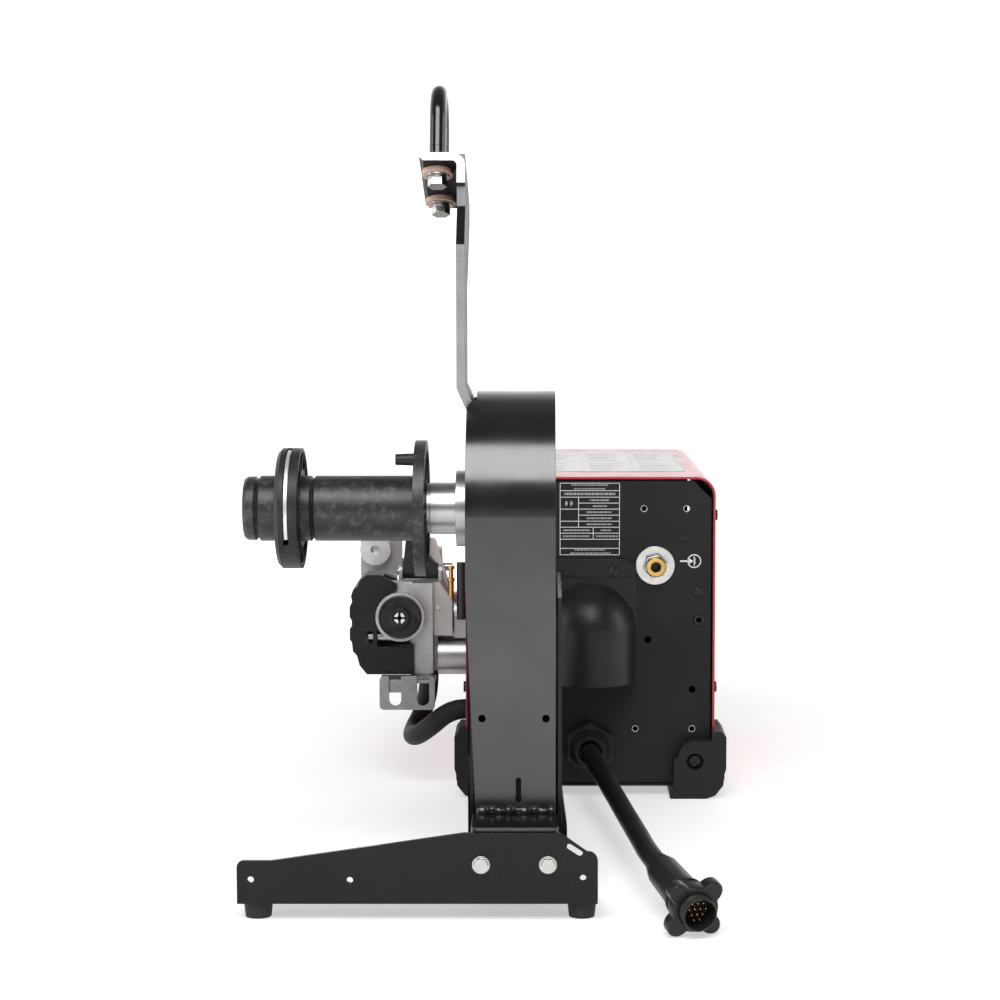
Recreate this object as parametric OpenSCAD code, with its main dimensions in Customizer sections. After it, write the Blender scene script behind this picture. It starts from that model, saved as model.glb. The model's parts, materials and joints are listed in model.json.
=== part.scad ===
// Bench wire feeder: a spool stand with a lift bail, a boxed control unit and a four-roll wire drive.
// +X points to the right seen from the back, +Y to the front of the feeder, +Z up. The floor is z = 0.

/* [Stand] */
// Width of the mast across its two faces
mast_w = 66; // [60:1:72]
// Outer radius of the arch on top of the mast
arch_r = 88; // [84:1:92]
// Sheet thickness of the stand
sheet_t = 3; // [2.5:0.5:4]
// Height of the spool axis above the floor
axle_z = 283.2; // [275:0.2:290]
// Left end of the foot beam
beam_x0 = -195; // [-200:1:-185]
// Right end of the foot beam
beam_x1 = 63; // [60:1:66]
// Depth of the foot beam from back to front
beam_depth = 50; // [46:1:50]
// Height of the rubber feet under the beam
foot_h = 12.5; // [10:0.5:13]

/* [Lift] */
// Thickness of the lift strap
strap_t = 6.35; // [5:0.05:8]
// Height of the strap where its top flange starts
strap_top = 552; // [545:1:560]
// Slope of the top flange, down towards the front
flange_tilt = 19; // [15:1:22]
// Diameter of the bail rod
bail_d = 12.7; // [10:0.1:14]
// Distance between the legs of the bail
bail_span = 60; // [50:1:62]

/* [Spool spindle] */
// Outer diameter of the hub that carries the spool
hub_d = 50; // [49:0.1:50.5]
// Diameter of the brake disc at the root of the hub
disc_d = 104; // [98:0.2:105]
// Diameter of the locking collar
collar_d = 92; // [88:0.5:96]
// Diameter of the fixed arbor inside the hub
arbor_d = 26; // [24:0.5:28]
// Distance of the drive pin from the spool axis
pin_offset = 44.5; // [44:0.5:45]

/* [Control box] */
// Width of the box
box_w = 220.6; // [218:0.2:222]
// Depth of the box from back to front
box_d = 346; // [340:1:350]
// Height of the top of the box above the floor
box_top = 285; // [283:0.5:287]
// Gap between the floor and the base of the box
box_floor = 8.6; // [8.2:0.2:9]
// Thickness of the case sheet
case_t = 2; // [1.5:0.5:2]
// Outer corner radius of the case
case_r = 17; // [14:1:18]

/* [Wire drive] */
// Height of the wire above the floor
wire_z = 157; // [156:0.5:158]
// Sideways place of the wire
wire_x = -104.5; // [-105:0.5:-104]
// Pitch radius of the roll gears, equal to the roll radius
roll_r = 18; // [18:1:18]
// Teeth on each roll gear
roll_teeth = 36; // [36:1:36]
// Teeth on the driving pinion
pinion_teeth = 24; // [24:1:24]

/* [Control cable] */
// Diameter of the control cable
cable_d = 16; // [13:0.5:16]
// Diameter of the welding lead to the drive
lead_d = 18; // [16:0.5:18]

/* [Hidden] */
$fn = 72;
frame_dx = 10;
frame_dy = -245;
fit = 0.05;      // radial clearance of a running fit
gap = 0.3;       // clearance between moving neighbours
beam_y0 = -139;
beam_y1 = beam_y0 + beam_depth;
mast_x0 = -mast_w / 2;
mast_x1 = mast_w / 2;
arch_in = arch_r - sheet_t;
arch_z = axle_z + 1.8;
foot_x = [-181.4, 51.7];
foot_y = -124;
beam_bolt_x = [-20.5, 27.3];
beam_bolt_z = 41.2;
channel_z = 5.6;
channel_x0 = -29.8;
channel_x1 = 37.5;
box_x0 = -45;
box_x1 = box_x0 + box_w;
box_y0 = 265;
box_y1 = box_y0 + box_d;
panel_y = 267;   // outer face of the back panel
face_y = box_y1 - 3; // outer face of the front panel
panel_t = 2;
hub_x0 = -64.9;  // right face of the brake disc
disc_t = 8.5;
collar_x0 = -177.2;
collar_x1 = -159.8;
strap_x0 = -41;
strap_in_x = mast_x0 + sheet_t;
flange_x0 = -69.3;
bail_x = -56.4;
bail_first = 22;
flange_y0 = -8;
boot_x1 = 185.5;
boot_z = 60;
boot_y0 = 252;
gas_x = 122.5;
gas_z = 206.5;
gland_x = 65;
gland_z = 45;
hood_x = 65;
hood_z = 150;
hood_r = 40.6;
hood_plate = 41; // half width of the plate behind the hood
wall_x = box_x0;          // left wall of the box, which carries the drive
roll_y = [380, 440];
roll_lo_z = wire_z - roll_r;
roll_hi_z = wire_z + roll_r;
pinion_r = roll_r * pinion_teeth / roll_teeth;
pinion_y = (roll_y[0] + roll_y[1]) / 2;
roll_x0 = wire_x - 7;
gear_x0 = wire_x + 7;
gear_w = 6;
plate_x0 = -90;           // roll side of the feed plate
plate_x1 = -72;
guard_pin = [-113, 184];  // hinge line of the guard, x and z
guard_y0 = 296;
guard_y1 = 470;
arm_pivot = [503, 176];   // hinge line of the pressure arm, y and z
lever_pivot = [328, 194]; // hinge line of the tension lever, y and z
latch_pivot = [-65, 346, 173];
clamp_c = [-140, 196];
clamp_y = 486;
knob_z = 92;
pan_lip_z = 24;
speed_x = 30;
volts_x = 100;
toggle_at = [65, 175];
jog_at = [145, 150];
// Route of the control cable, from the gland to the plug
cable_route = [
    [65, 236, 45], [65.8, 222, 45], [67.6, 205, 44.5], [70, 185, 43.5], [72.8, 165, 42.5], [75.6, 143, 41.7],
    [78.4, 120, 40.8], [81.2, 97, 39.9], [84, 74, 39], [86.7, 51, 38.2], [89.3, 28, 37.5], [92, 5, 37],
    [94.6, -18, 36.5], [97, -40, 36.2], [99, -60, 36], [101.2, -79, 35.7], [104, -94, 34.9], [107, -105, 33]
];
// Route of the welding lead, from the box wall to the underside of the feed plate
lead_route = [
    [-45, 300, 72], [-55, 299, 71], [-66, 299, 66], [-78, 301, 56], [-88, 307, 48], [-94, 318, 44],
    [-96, 332, 43], [-95, 346, 46], [-91, 358, 53], [-87, 366, 63], [-84, 370, 76], [-83, 371, 90],
    [-83, 371, 104]
];
plug_start = cable_route[len(cable_route) - 1];
plug_turn = [9.5, 0, 17]; // pitch down and yaw of the plug axis
pin_rows = [2, 3, 4, 3];   // pins in each row of the plug
pin_pitch = 4.1;
plug_r = 12.6;            // threaded shell of the plug
plug_len = 90;
ring_z = 69;              // back of the coupling ring along the plug
pin_z = 74;

// ---- helpers -------------------------------------------------------------------------------

// One part: its colour, moved into the part's frame
module part(c) color(c) translate([frame_dx, frame_dy, 0]) children();

// Extrusions of an outline drawn in (Y, Z), (X, Z) and (X, Y)
module slab_x(x0, x1) translate([x0, 0, 0]) rotate([90, 0, 90]) linear_extrude(x1 - x0) children();
module slab_y(y0, y1) translate([0, y1, 0]) rotate([90, 0, 0]) linear_extrude(y1 - y0) children();
module slab_z(z0, z1) translate([0, 0, z0]) linear_extrude(z1 - z0) children();

// Round bars along X, Y and Z
module rod_x(x0, x1, y, z, r) translate([x0, y, z]) rotate([0, 90, 0]) cylinder(h = x1 - x0, r = r);
module rod_y(y0, y1, x, z, r) translate([x, y1, z]) rotate([90, 0, 0]) cylinder(h = y1 - y0, r = r);
module rod_z(z0, z1, x, y, r) translate([x, y, z0]) cylinder(h = z1 - z0, r = r);

// A block between two corners
module block(a, b) translate(a) cube(b - a);

// A rectangle with round corners between two corners
module round_rect(a, b, r) {
    translate([a[0] + r, a[1]]) square([b[0] - a[0] - 2 * r, b[1] - a[1]]);
    translate([a[0], a[1] + r]) square([b[0] - a[0], b[1] - a[1] - 2 * r]);
    for (x = [a[0] + r, b[0] - r], y = [a[1] + r, b[1] - r]) translate([x, y]) circle(r);
}

// A slot from p to q in the drawing plane
module slot_2d(p, q, r) {
    d = q - p;
    for (c = [p, q]) translate(c) circle(r);
    translate(p) rotate(atan2(d[1], d[0])) translate([0, -r]) square([norm(d), 2 * r]);
}

// A hexagon of a given width across flats
module hex_2d(af) circle(r = af / 2 / cos(30), $fn = 6);

// Smooth path through a route, and a tube swept along it
function unit(v) = v / norm(v);
function knot(p, i) = p[max(0, min(len(p) - 1, i))];
function spline(p, i, t) =
    let (a = knot(p, i - 1), b = knot(p, i), c = knot(p, i + 1), d = knot(p, i + 2))
    0.5 * (2 * b + (c - a) * t + (2 * a - 5 * b + 4 * c - d) * t * t
        + (3 * b - a - 3 * c + d) * t * t * t);
function smooth_path(p, steps) =
    concat([for (i = [0:len(p) - 2]) for (j = [0:steps - 1]) spline(p, i, j / steps)],
        [p[len(p) - 1]]);
function heading(q, i) = unit(knot(q, i + 1) - knot(q, i - 1));
function ring(q, i, r, sides, up) =
    let (t = heading(q, i), u = unit(cross(t, up)), v = cross(u, t))
    [for (k = [0:sides - 1]) q[i] + r * (cos(360 * k / sides) * u + sin(360 * k / sides) * v)];
module tube(q, r, sides, up) {
    n = len(q);
    points = [for (i = [0:n - 1]) each ring(q, i, r, sides, up)];
    walls = [for (i = [0:n - 2]) for (k = [0:sides - 1])
        let (a = i * sides + k, b = i * sides + (k + 1) % sides) [a, b, b + sides, a + sides]];
    first = [for (k = [0:sides - 1]) sides - 1 - k];
    last = [for (k = [0:sides - 1]) (n - 1) * sides + k];
    polyhedron(points, concat(walls, [first], [last]), convexity = 10);
}

// Outline of a spur gear with straight-flanked teeth
module gear_2d(teeth, r, phase) {
    step = 360 / teeth;
    polygon([for (i = [0:teeth - 1]) for (c = [[-0.31, -1.2], [-0.14, 0.85], [0.14, 0.85], [0.31, -1.2]])
        let (a = phase + (i + c[0]) * step, d = r + c[1]) [d * cos(a), d * sin(a)]]);
}

// ---- stand ---------------------------------------------------------------------------------

// Front plate of the beam, with its upper corners rounded
module beam_face() {
    polygon([[beam_x0, foot_h], [beam_x0, 39], [beam_x0 + 5, 44], [-170, 44], [-33, 64], [36, 64],
        [beam_x1 - 5, 48.5], [beam_x1, 43], [beam_x1, foot_h]]);
    translate([beam_x0 + 5, 39]) circle(5);
    translate([beam_x1 - 7, 43.4]) circle(7);
}

module foot_beam() part("#1c1c1e") difference() {
    union() {
        slab_y(beam_y0, beam_y0 + sheet_t) beam_face();
        slab_z(foot_h, foot_h + sheet_t)
            translate([beam_x0, beam_y0]) square([beam_x1 - beam_x0, beam_depth]);
    }
    for (p = [[-185, 30.2], [-114.2, 29.8], [52.4, 31.4]])
        rod_y(beam_y0 - 1, beam_y0 + 4, p[0], p[1], 2.3);
    for (x = beam_bolt_x) rod_y(beam_y0 - 1, beam_y0 + 4, x, beam_bolt_z, 4.2);
    slab_y(beam_y0 - 1, beam_y0 + 4) slot_2d([42.6, 54], [50, 49.2], 2.2);
    for (x = foot_x) rod_z(foot_h - 1, foot_h + 4, x, foot_y, 2.6);
}

module rubber_feet() part("#2a2a2b") for (x = foot_x) difference() {
    translate([x, foot_y, 0]) cylinder(h = foot_h, r1 = 9.3, r2 = 10.7);
    rod_z(-1, 5, x, foot_y, 5.2);
    rod_z(4, foot_h + 1, x, foot_y, 2.6);
}

module mast_foot() difference() {
    union() {
        slab_z(61, 64 + sheet_t) round_rect([channel_x0 + 2, -135.8], [35, -88], 5);
        block([channel_x0 + 2, -135.8, 22], [35, -132.8, 62]);
    }
    for (x = beam_bolt_x) rod_y(-137, -131, x, beam_bolt_z, 4.0);
}

module mast_outline(r) {
    translate([0, arch_z]) circle(r);
    translate([-r, 0]) square([2 * r, arch_z]);
}

module mast_band() part("#1d1d1f") {
    mast_foot();
    mast_arch();
}

module mast_arch() difference() {
    slab_x(mast_x0, mast_x1) mast_outline(arch_r);
    slab_x(mast_x0 - 1, mast_x1 + 1) mast_outline(arch_in);
    block([-60, -arch_r - 1, -1], [60, -arch_in + 1, 64 + sheet_t - 0.5]);
    block([-60, arch_in - 1, -1], [60, arch_r + 1, box_floor]);
    block([-60, arch_in - 1, -1], [-26.9, arch_r + 1, 228]);
    slab_y(-arch_r - 1, -arch_in + 1) polygon([
        [mast_x0 - 5, 0], [-26, 0], [-26, 70], [mast_x0, 232], [mast_x0 - 5, 232]
    ]);
    for (x = [-20.9, 25.9]) rod_y(-arch_r - 1, -arch_in + 1, x, 137, 2.8);
    slab_y(-arch_r - 1, -arch_in + 1) {
        slot_2d([5.7, 76], [5.7, 91], 2);
        translate([5.7, 77]) circle(2.4);
    }
    block([mast_x0 - 1, -33, axle_z + 60], [-26, 33, axle_z + 100]);
}

module mast_side_plates() part("#1c1c1e") {
    difference() {
        slab_x(mast_x0, strap_in_x) side_outline();
        rod_x(mast_x0 - 1, strap_in_x + 1, 0, axle_z, 8.1);
        slab_x(mast_x0 - 1, strap_in_x + 1) polygon([
            [-90, 0], [-40, 0], [-40, 100], [-arch_in - 1, 232], [-90, 232]
        ]);
        block([mast_x0 - 1, -33, axle_z + 60], [strap_in_x + 1, 33, axle_z + 100]);
    }
    slab_x(mast_x1 - sheet_t, mast_x1) side_outline();
}

module side_outline() intersection() {
    mast_outline(arch_in - 0.1);
    translate([-arch_r, box_floor]) square([2 * arch_r, 400]);
}

module base_channel() part("#1c1c1e") {
    slab_z(channel_z, box_floor) translate([channel_x0, -85]) square([channel_x1 - channel_x0, 640]);
    slab_x(channel_x0, channel_x0 + 2.6) channel_wall();
    slab_x(channel_x1 - sheet_t, channel_x1) channel_wall();
    slab_y(-84, -60) polygon([[channel_x1 - sheet_t, 30], [channel_x1 + 4, 30], [channel_x1 + 4, 55],
        [channel_x1 - 0.5, 88], [channel_x1 - sheet_t, 88]]);
}

module channel_wall() polygon([
    [-84.5, channel_z], [-84.5, 226], [60, 226], [120, 120], [244, 44], [248, channel_z]
]);

// The strap joggles out of the mast, steps forward and ends in a tilted flange
module lift_strap() part("#b9bcbf") difference() {
    union() {
        slab_y(-32, 32) polygon([[strap_in_x, 238], [strap_in_x, 352], [strap_x0, 376], [strap_x0, 400],
            [strap_x0 + strap_t, 400], [strap_x0 + strap_t, 378], [strap_in_x + strap_t, 354],
            [strap_in_x + strap_t, 238]]);
        slab_x(strap_x0, strap_x0 + strap_t) polygon([
            [-32, 399], [-32, 483], [flange_y0, 512], [flange_y0, strap_top - 1],
            [92, strap_top - 35], [92, 500], [32, 450], [32, 399]
        ]);
        flange_frame() {
            slab_y(0, 100) polygon([[flange_x0 + 3, -strap_t], [flange_x0, -strap_t + 3], [flange_x0, 0],
                [strap_x0 - 4, 0], [strap_x0 + strap_t, -10.4], [strap_x0 + strap_t, -24],
                [strap_x0, -24], [strap_x0, -10], [strap_x0 - 4, -strap_t]]);
            rod_y(0, 100, strap_x0 - 4, -10.35, 10.35);
        }
    }
    flange_frame() {
        rod_y(-1, 101, strap_x0 - 4, -10.35, 4);
        block([strap_x0 - 14, -1, -24], [strap_x0 - 0.01, 101, -10.3]);
        block([flange_x0 - 1, -1, -24], [strap_x0 - 4, 101, -strap_t - 0.01]);
        for (y = bail_at) rod_z(-strap_t - 1, 1, bail_x, y, 4.3);
    }
    rod_x(-32, -20, 0, axle_z, 8.2);
}

bail_at = [bail_first, bail_first + bail_span];

// Frame of the flange: origin on its top at the near edge, second axis down the slope
module flange_frame() translate([0, flange_y0, strap_top]) rotate([-flange_tilt, 0, 0]) children();

module lift_bail() part("#161617") flange_frame() {
    leg = 37.5;
    difference() {
        union() {
            for (y = bail_at) rod_z(0, leg, bail_x, y, bail_d / 2);
            translate([bail_x, bail_first + bail_span / 2, leg]) rotate([0, -90, 0]) rotate([0, 0, -90])
                rotate_extrude(angle = 180) translate([bail_span / 2, 0]) circle(bail_d / 2);
        }
        for (y = bail_at) rod_z(-1, 19, bail_x, y, 3.4);
    }
}

module bail_washers() part("#c9a08c") flange_frame() for (y = bail_at) difference() {
    rod_z(-strap_t - 3.5, -strap_t - 0.02, bail_x, y, 11.8);
    rod_z(-strap_t - 4, -strap_t + 1, bail_x, y, 4.3);
}

module hex_bolts() part("#c3c6c8") {
    flange_frame() for (y = bail_at) {
        rod_z(-strap_t - 5, -strap_t - 3.5, bail_x, y, 9.3);
        rod_z(-strap_t - 7, -strap_t - 5, bail_x, y, 6.9);
        translate([bail_x, y, -strap_t - 12.4]) linear_extrude(5.4) hex_2d(12.7);
        rod_z(-strap_t - 7.5, 18.5, bail_x, y, 3.35);
    }
    for (x = beam_bolt_x) {
        rod_y(beam_y0 - 1.5, beam_y0, x, beam_bolt_z, 6.4);
        slab_y(beam_y0 - 5.5, beam_y0 - 1.4) translate([x, beam_bolt_z]) hex_2d(9.5);
        rod_y(beam_y0 - 2, beam_y0 + 12, x, beam_bolt_z, 3.95);
    }
    for (x = foot_x) {
        rod_z(1.5, 5, x, foot_y, 4.8);
        rod_z(4, foot_h + 8, x, foot_y, 2.5);
    }
}

// ---- spool spindle -------------------------------------------------------------------------

module spindle_shaft() part("#c8cacc") {
    rod_x(-42.3, mast_x0, 0, axle_z, 29.1);
    rod_x(-61.9, -42, 0, axle_z, 19.8);
    rod_x(-64.6, -61, 0, axle_z, 19);
    rod_x(-186, -64, 0, axle_z, arbor_d / 2);
    rod_x(-197, -185, 0, axle_z, 5);
    rod_x(-34, -12, 0, axle_z, 8);
    slab_x(strap_in_x + strap_t, -13.6) translate([0, axle_z]) hex_2d(24);
}

module hub_profile() polygon([
    [arbor_d / 2 + fit, 0], [21, 0], [21, 3.2], [44, 3.2], [44, 0], [disc_d / 2, 0],
    [disc_d / 2, disc_t], [hub_d / 2, disc_t],
    [hub_d / 2, 84.5], [hub_d / 2 - 2.4, 86.2], [hub_d / 2, 88],
    [hub_d / 2, 126.4], [hub_d / 2 - 2.6, 128.3], [hub_d / 2 - 0.5, 130.2],
    [hub_d / 2 - 0.7, 136], [hub_d / 2 - 2.2, 138.5],
    [20.5, 138.5], [20.5, 119], [arbor_d / 2 + fit, 119]
]);

module spool_hub() part("#1b1b1c") {
    difference() {
        translate([hub_x0, 0, axle_z]) rotate([0, -90, 0]) rotate_extrude() hub_profile();
        drive_pin_at() translate([0, 0, 2]) cylinder(h = 30, r = 4);
    }
    for (a = [0:45:315]) translate([hub_x0, 0, axle_z]) rotate([a, 0, 0])
        block([-3.4, -1.2, 20.5], [-0.2, 1.2, 44.4]);
}

// Frame on the axis of the drive pin, pointing out of the disc
module drive_pin_at() translate([hub_x0, 0, axle_z]) rotate([29, 0, 0]) translate([0, 0, pin_offset])
    rotate([0, -90, 0]) children();

module drive_pin() part("#232324") drive_pin_at() {
    translate([0, 0, 2]) cylinder(h = 7, r = 4);
    translate([0, 0, disc_t]) cylinder(h = 14, r1 = 4.7, r2 = 4.2);
}

module brake_spring() part("#a9adb0") {
    turns = 4;
    steps = 14;
    wire_r = 1.2;
    coil_r = 9.5;
    coil = [for (i = [0:turns * steps]) let (a = 360 * i / steps)
        [-192.2 + 5.4 * i / (turns * steps), coil_r * cos(a), axle_z + coil_r * sin(a)]];
    tube(coil, wire_r * 0.5, 8, [1, 0, 0]);
}

module brake_nut() part("#8f9396") difference() {
    slab_x(-198, -193.4) translate([0, axle_z]) hex_2d(24);
    rod_x(-199, -192, 0, axle_z, 5);
}

module end_clip() part("#1b1b1c") {
    rod_x(-203.4, -201, 0, axle_z, 20.5);
    slab_y(-7, 7) polygon([
        [-203, axle_z + 10], [-205, axle_z + 10], [-205.5, axle_z + 7],
        [-203.5, axle_z - 19], [-203, axle_z - 19]
    ]);
}

module locking_collar() part("#1c1c1d") difference() {
    union() {
        translate([collar_x0, 0, axle_z]) rotate([0, 90, 0]) rotate_extrude() polygon([
            [hub_d / 2 + fit, 0], [collar_d / 2 - 3, 0], [collar_d / 2, 3], [collar_d / 2, 17.4],
            [collar_d / 2 - 3, 17.4], [collar_d / 2 - 4.5, 12.6], [29.5, 12.6], [29.5, 17.4],
            [hub_d / 2 + fit, 17.4]
        ]);
        for (a = [15:30:345]) translate([collar_x0, 0, axle_z]) rotate([a, 0, 0])
            block([11, -1, 29], [16.4, 1, collar_d / 2 - 3.4]);
    }
    collar_slot(1.9, 36);
}

// The slot runs from the top round the back of the rim
module collar_slot(half_w, r_in) intersection() {
    difference() {
        rod_x(-168.6 - half_w, -168.6 + half_w, 0, axle_z, collar_d / 2 + 1);
        rod_x(-175, -160, 0, axle_z, r_in);
    }
    translate([-180, -60, axle_z - 24]) cube([30, 62, 90]);
}

module release_bar() part("#d2d5d7") intersection() {
    difference() {
        rod_x(-170, -167.2, 0, axle_z, collar_d / 2 - 1.4);
        rod_x(-175, -160, 0, axle_z, collar_d / 2 - 4.4);
    }
    translate([-180, -60, axle_z - 20]) cube([30, 58, 80]);
}

// ---- control box ---------------------------------------------------------------------------

module case_outline(inset) {
    r = case_r - inset;
    translate([box_x0 + inset, box_floor - 1]) square([box_w - 2 * inset, box_top - box_floor - case_r + 1]);
    translate([box_x0 + inset + r, box_floor - 1])
        square([box_w - 2 * inset - 2 * r, box_top - box_floor - inset + 1]);
    for (x = [box_x0 + inset + r, box_x1 - inset - r]) translate([x, box_top - inset - r]) circle(r);
}

side_screw = [[279, 250], [279, 96], [596, 250], [596, 96]];

module case_shell() part("#b5122f") difference() {
    slab_y(box_y0, box_y1) intersection() {
        case_outline(0);
        translate([box_x0, box_floor]) square([box_w, 400]);
    }
    slab_y(box_y0 - 1, box_y1 + 1) case_outline(case_t);
    rod_x(wall_x - 1, wall_x + 4, 325, 117, 18.5);
    rod_x(wall_x - 1, wall_x + 4, pinion_y, roll_lo_z, 26);
    rod_x(wall_x - 1, wall_x + 4, 300, 72, lead_d / 2 + 2);
    for (p = side_screw) rod_x(box_x1 - 4, box_x1 + 1, p[0], p[1], 2.1);
    for (p = side_screw) rod_x(box_x0 - 1, box_x0 + 4, p[0], p[1], 2.1);
}

module panel_outline(chamfer) polygon([
    [box_x0 + 3.6, box_floor + 3], [box_x0 + 3.6, box_top - 3.6 - chamfer],
    [box_x0 + 3.6 + chamfer, box_top - 3.6], [box_x1 - 3.6 - chamfer, box_top - 3.6],
    [box_x1 - 3.6, box_top - 3.6 - chamfer], [box_x1 - 3.6, box_floor + 3]
]);

vent_holes = [[112.5, 256.7], [150.2, 256.7], [155.8, 95.5], [105.4, 60.1], [155.8, 60.1], [116.2, 140]];
panel_bolt = [[161.2, 157.7], [160, 183.3], [146.8, 232]];

module rear_panel() part("#2b2b2c") difference() {
    slab_y(panel_y, panel_y + panel_t) panel_outline(16);
    for (p = vent_holes) rod_y(panel_y - 1, panel_y + 4, p[0], p[1], 3.1);
    rod_y(panel_y - 1, panel_y + 4, gas_x, gas_z, 9.1);
    rod_y(panel_y - 1, panel_y + 4, gland_x, gland_z, 14.5);
    rod_y(panel_y - 1, panel_y + 4, hood_x, hood_z, 8);
    for (x = boot_screw_x) rod_y(panel_y - 1, panel_y + 4, x, boot_screw_z, 2.4);
    for (p = concat(panel_bolt, hood_screw)) rod_y(panel_y - 1, panel_y + 4, p[0], p[1], 2.1);
}

module front_panel() part("#2b2b2c") difference() {
    slab_y(face_y - panel_t, face_y) panel_outline(7.5);
    block([5, face_y - 4, 205], [125, face_y + 1, 255]);
    for (x = [speed_x, volts_x]) rod_y(face_y - 4, face_y + 1, x, knob_z, 3.6);
    rod_y(face_y - 4, face_y + 1, toggle_at[0], toggle_at[1], 5.5);
    rod_y(face_y - 4, face_y + 1, jog_at[0], jog_at[1], 5.4);
    rod_y(face_y - 4, face_y + 1, 65, 45, 12.1);
    for (x = boot_screw_x) rod_y(face_y - 4, face_y + 1, x, boot_screw_z, 2.4);
}

module base_pan() part("#2b2b2c") {
    block([box_x0 + 2.2, box_y0 + 1.4, box_floor], [box_x1 - 2.2, box_y1 - 1.4, box_floor + 2]);
    block([box_x0 + 2.2, panel_y + panel_t, box_floor + 1], [box_x1 - 2.2, panel_y + panel_t + 2, pan_lip_z]);
    block([box_x0 + 2.2, face_y - panel_t - 2, box_floor + 1], [box_x1 - 2.2, face_y - panel_t, pan_lip_z]);
}

boot_screw_x = [box_x0 + 17.8, box_x1 - 17.8];
boot_screw_z = 33.3;

// One rubber corner: a lobe on the end face, a side cheek and a stepped sole
module boot() difference() {
    union() {
        intersection() {
            slab_y(boot_y0, boot_y0 + 60) polygon([
                [136, 0], [168, 0], [176, 3], [183, 12], [boot_x1 - 1.5, 22], [boot_x1, 27], [boot_x1, 55],
                [boot_x1 - 4, boot_z], [169, boot_z], [169, 54], [141, 54], [136, 16]]);
            union() {
                block([172.6, boot_y0, 0], [boot_x1, boot_y0 + 60, boot_z]);
                block([136, boot_y0, 0], [boot_x1, boot_y0 + 60, 12]);
                block([130, boot_y0 + 9, 0], [boot_x1, boot_y0 + 14, 20]);
            }
        }
        slab_y(boot_y0, box_y0) {
            translate([158, 36]) circle(15.5);
            translate([158, 17]) square([26, 34.5]);
            translate([139, 9]) square([40, 27]);
        }
        slab_y(boot_y0 + 2, panel_y - 0.5) translate([157.8, boot_screw_z]) circle(15);
    }
    block([box_x0 - 40, box_y0, box_floor], [box_x1 + 0.1, box_y1, 300]);
    rod_y(boot_y0 - 1, boot_y0 + 8, box_x1 - 17.8, boot_screw_z, 7.5);
    rod_y(boot_y0, panel_y + 1, box_x1 - 17.8, boot_screw_z, 2.6);
    rod_x(boot_x1 - 5, boot_x1 + 1, boot_y0 + 36, 40, 6);
}

// Copies a thing to the four lower corners of the box
module four_corners() {
    cx = (box_x0 + box_x1) / 2;
    cy = (box_y0 + box_y1) / 2;
    translate([cx, cy, 0]) for (mx = [0, 1], my = [0, 1]) mirror([mx, 0, 0]) mirror([0, my, 0])
        translate([-cx, -cy, 0]) children();
}

module corner_boots() part("#242425") difference() {
    four_corners() boot();
    block([channel_x0 - 0.3, 240, channel_z - 0.2], [channel_x1 + 0.3, 560, box_floor + 1]);
}

hood_screw = [[hood_x - 21, 202.4], [hood_x + 21, 202.4]];

module case_screws() part("#3a3a3c") {
    four_corners() {
        rod_y(boot_y0 + 4.6, boot_y0 + 8, box_x1 - 17.8, boot_screw_z, 5.2);
        rod_y(boot_y0 + 7, panel_y + 8, box_x1 - 17.8, boot_screw_z, 2.3);
    }
    for (p = side_screw) {
        rod_x(box_x1, box_x1 + 2.6, p[0], p[1], 5);
        rod_x(box_x1 - 8, box_x1 + 1, p[0], p[1], 2);
        rod_x(box_x0 - 2.6, box_x0, p[0], p[1], 5);
        rod_x(box_x0 - 1, box_x0 + 8, p[0], p[1], 2);
    }
    for (p = panel_bolt) {
        rod_y(panel_y - 2.6, panel_y, p[0], p[1], 4.4);
        rod_y(panel_y - 1, panel_y + 8, p[0], p[1], 2);
    }
    for (p = hood_screw) {
        rod_y(panel_y - 5.8, panel_y - 3.5, p[0], p[1], 4.6);
        rod_y(panel_y - 4, panel_y + 8, p[0], p[1], 2);
    }
}

// Outline of the hood turned about its upright axis: a dome on a straight skirt
module hood_2d(r, drop) {
    intersection() {
        circle(r);
        square([r, r]);
    }
    translate([0, -drop]) square([r, drop]);
}

module hood_plate_2d(inset)
    round_rect([hood_x - hood_plate + inset, 160], [hood_x + hood_plate - inset, 212.3 - inset], 12 - inset);

module cable_boot() part("#202021") {
    intersection() {
        translate([hood_x, panel_y, hood_z]) rotate_extrude() difference() {
            hood_2d(hood_r, hood_z - 104);
            hood_2d(hood_r - 2.6, hood_z - 95);
        }
        block([0, 200, 100], [130, panel_y - 1, 200]);
    }
    difference() {
        union() {
            slab_y(panel_y - 2.5, panel_y) {
                hood_plate_2d(0);
                translate([hood_x - hood_plate, 104]) square([2 * hood_plate, 77]);
            }
            slab_y(panel_y - 3.5, panel_y - 2.4) intersection() {
                hood_plate_2d(0.6);
                translate([hood_x - 60, 196.5]) square([120, 20]);
            }
        }
        slab_y(panel_y - 3, panel_y + 1) {
            translate([hood_x, hood_z]) circle(hood_r - 2);
            translate([hood_x - hood_r + 2, 98]) square([2 * hood_r - 4, hood_z - 98]);
        }
        for (p = hood_screw) rod_y(panel_y - 5, panel_y + 1, p[0], p[1], 2.1);
    }
}

module weld_stud() part("#b98a3c") {
    rod_y(panel_y - 30, panel_y + 18, hood_x, hood_z, 6.3);
    slab_y(panel_y - 8, panel_y) translate([hood_x, hood_z]) difference() {
        hex_2d(19);
        circle(6.3);
    }
    rod_y(panel_y + 2, panel_y + 8, hood_x, hood_z, 15);
    rod_y(panel_y, panel_y + 2, hood_x, hood_z, 7.9);
}

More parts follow.
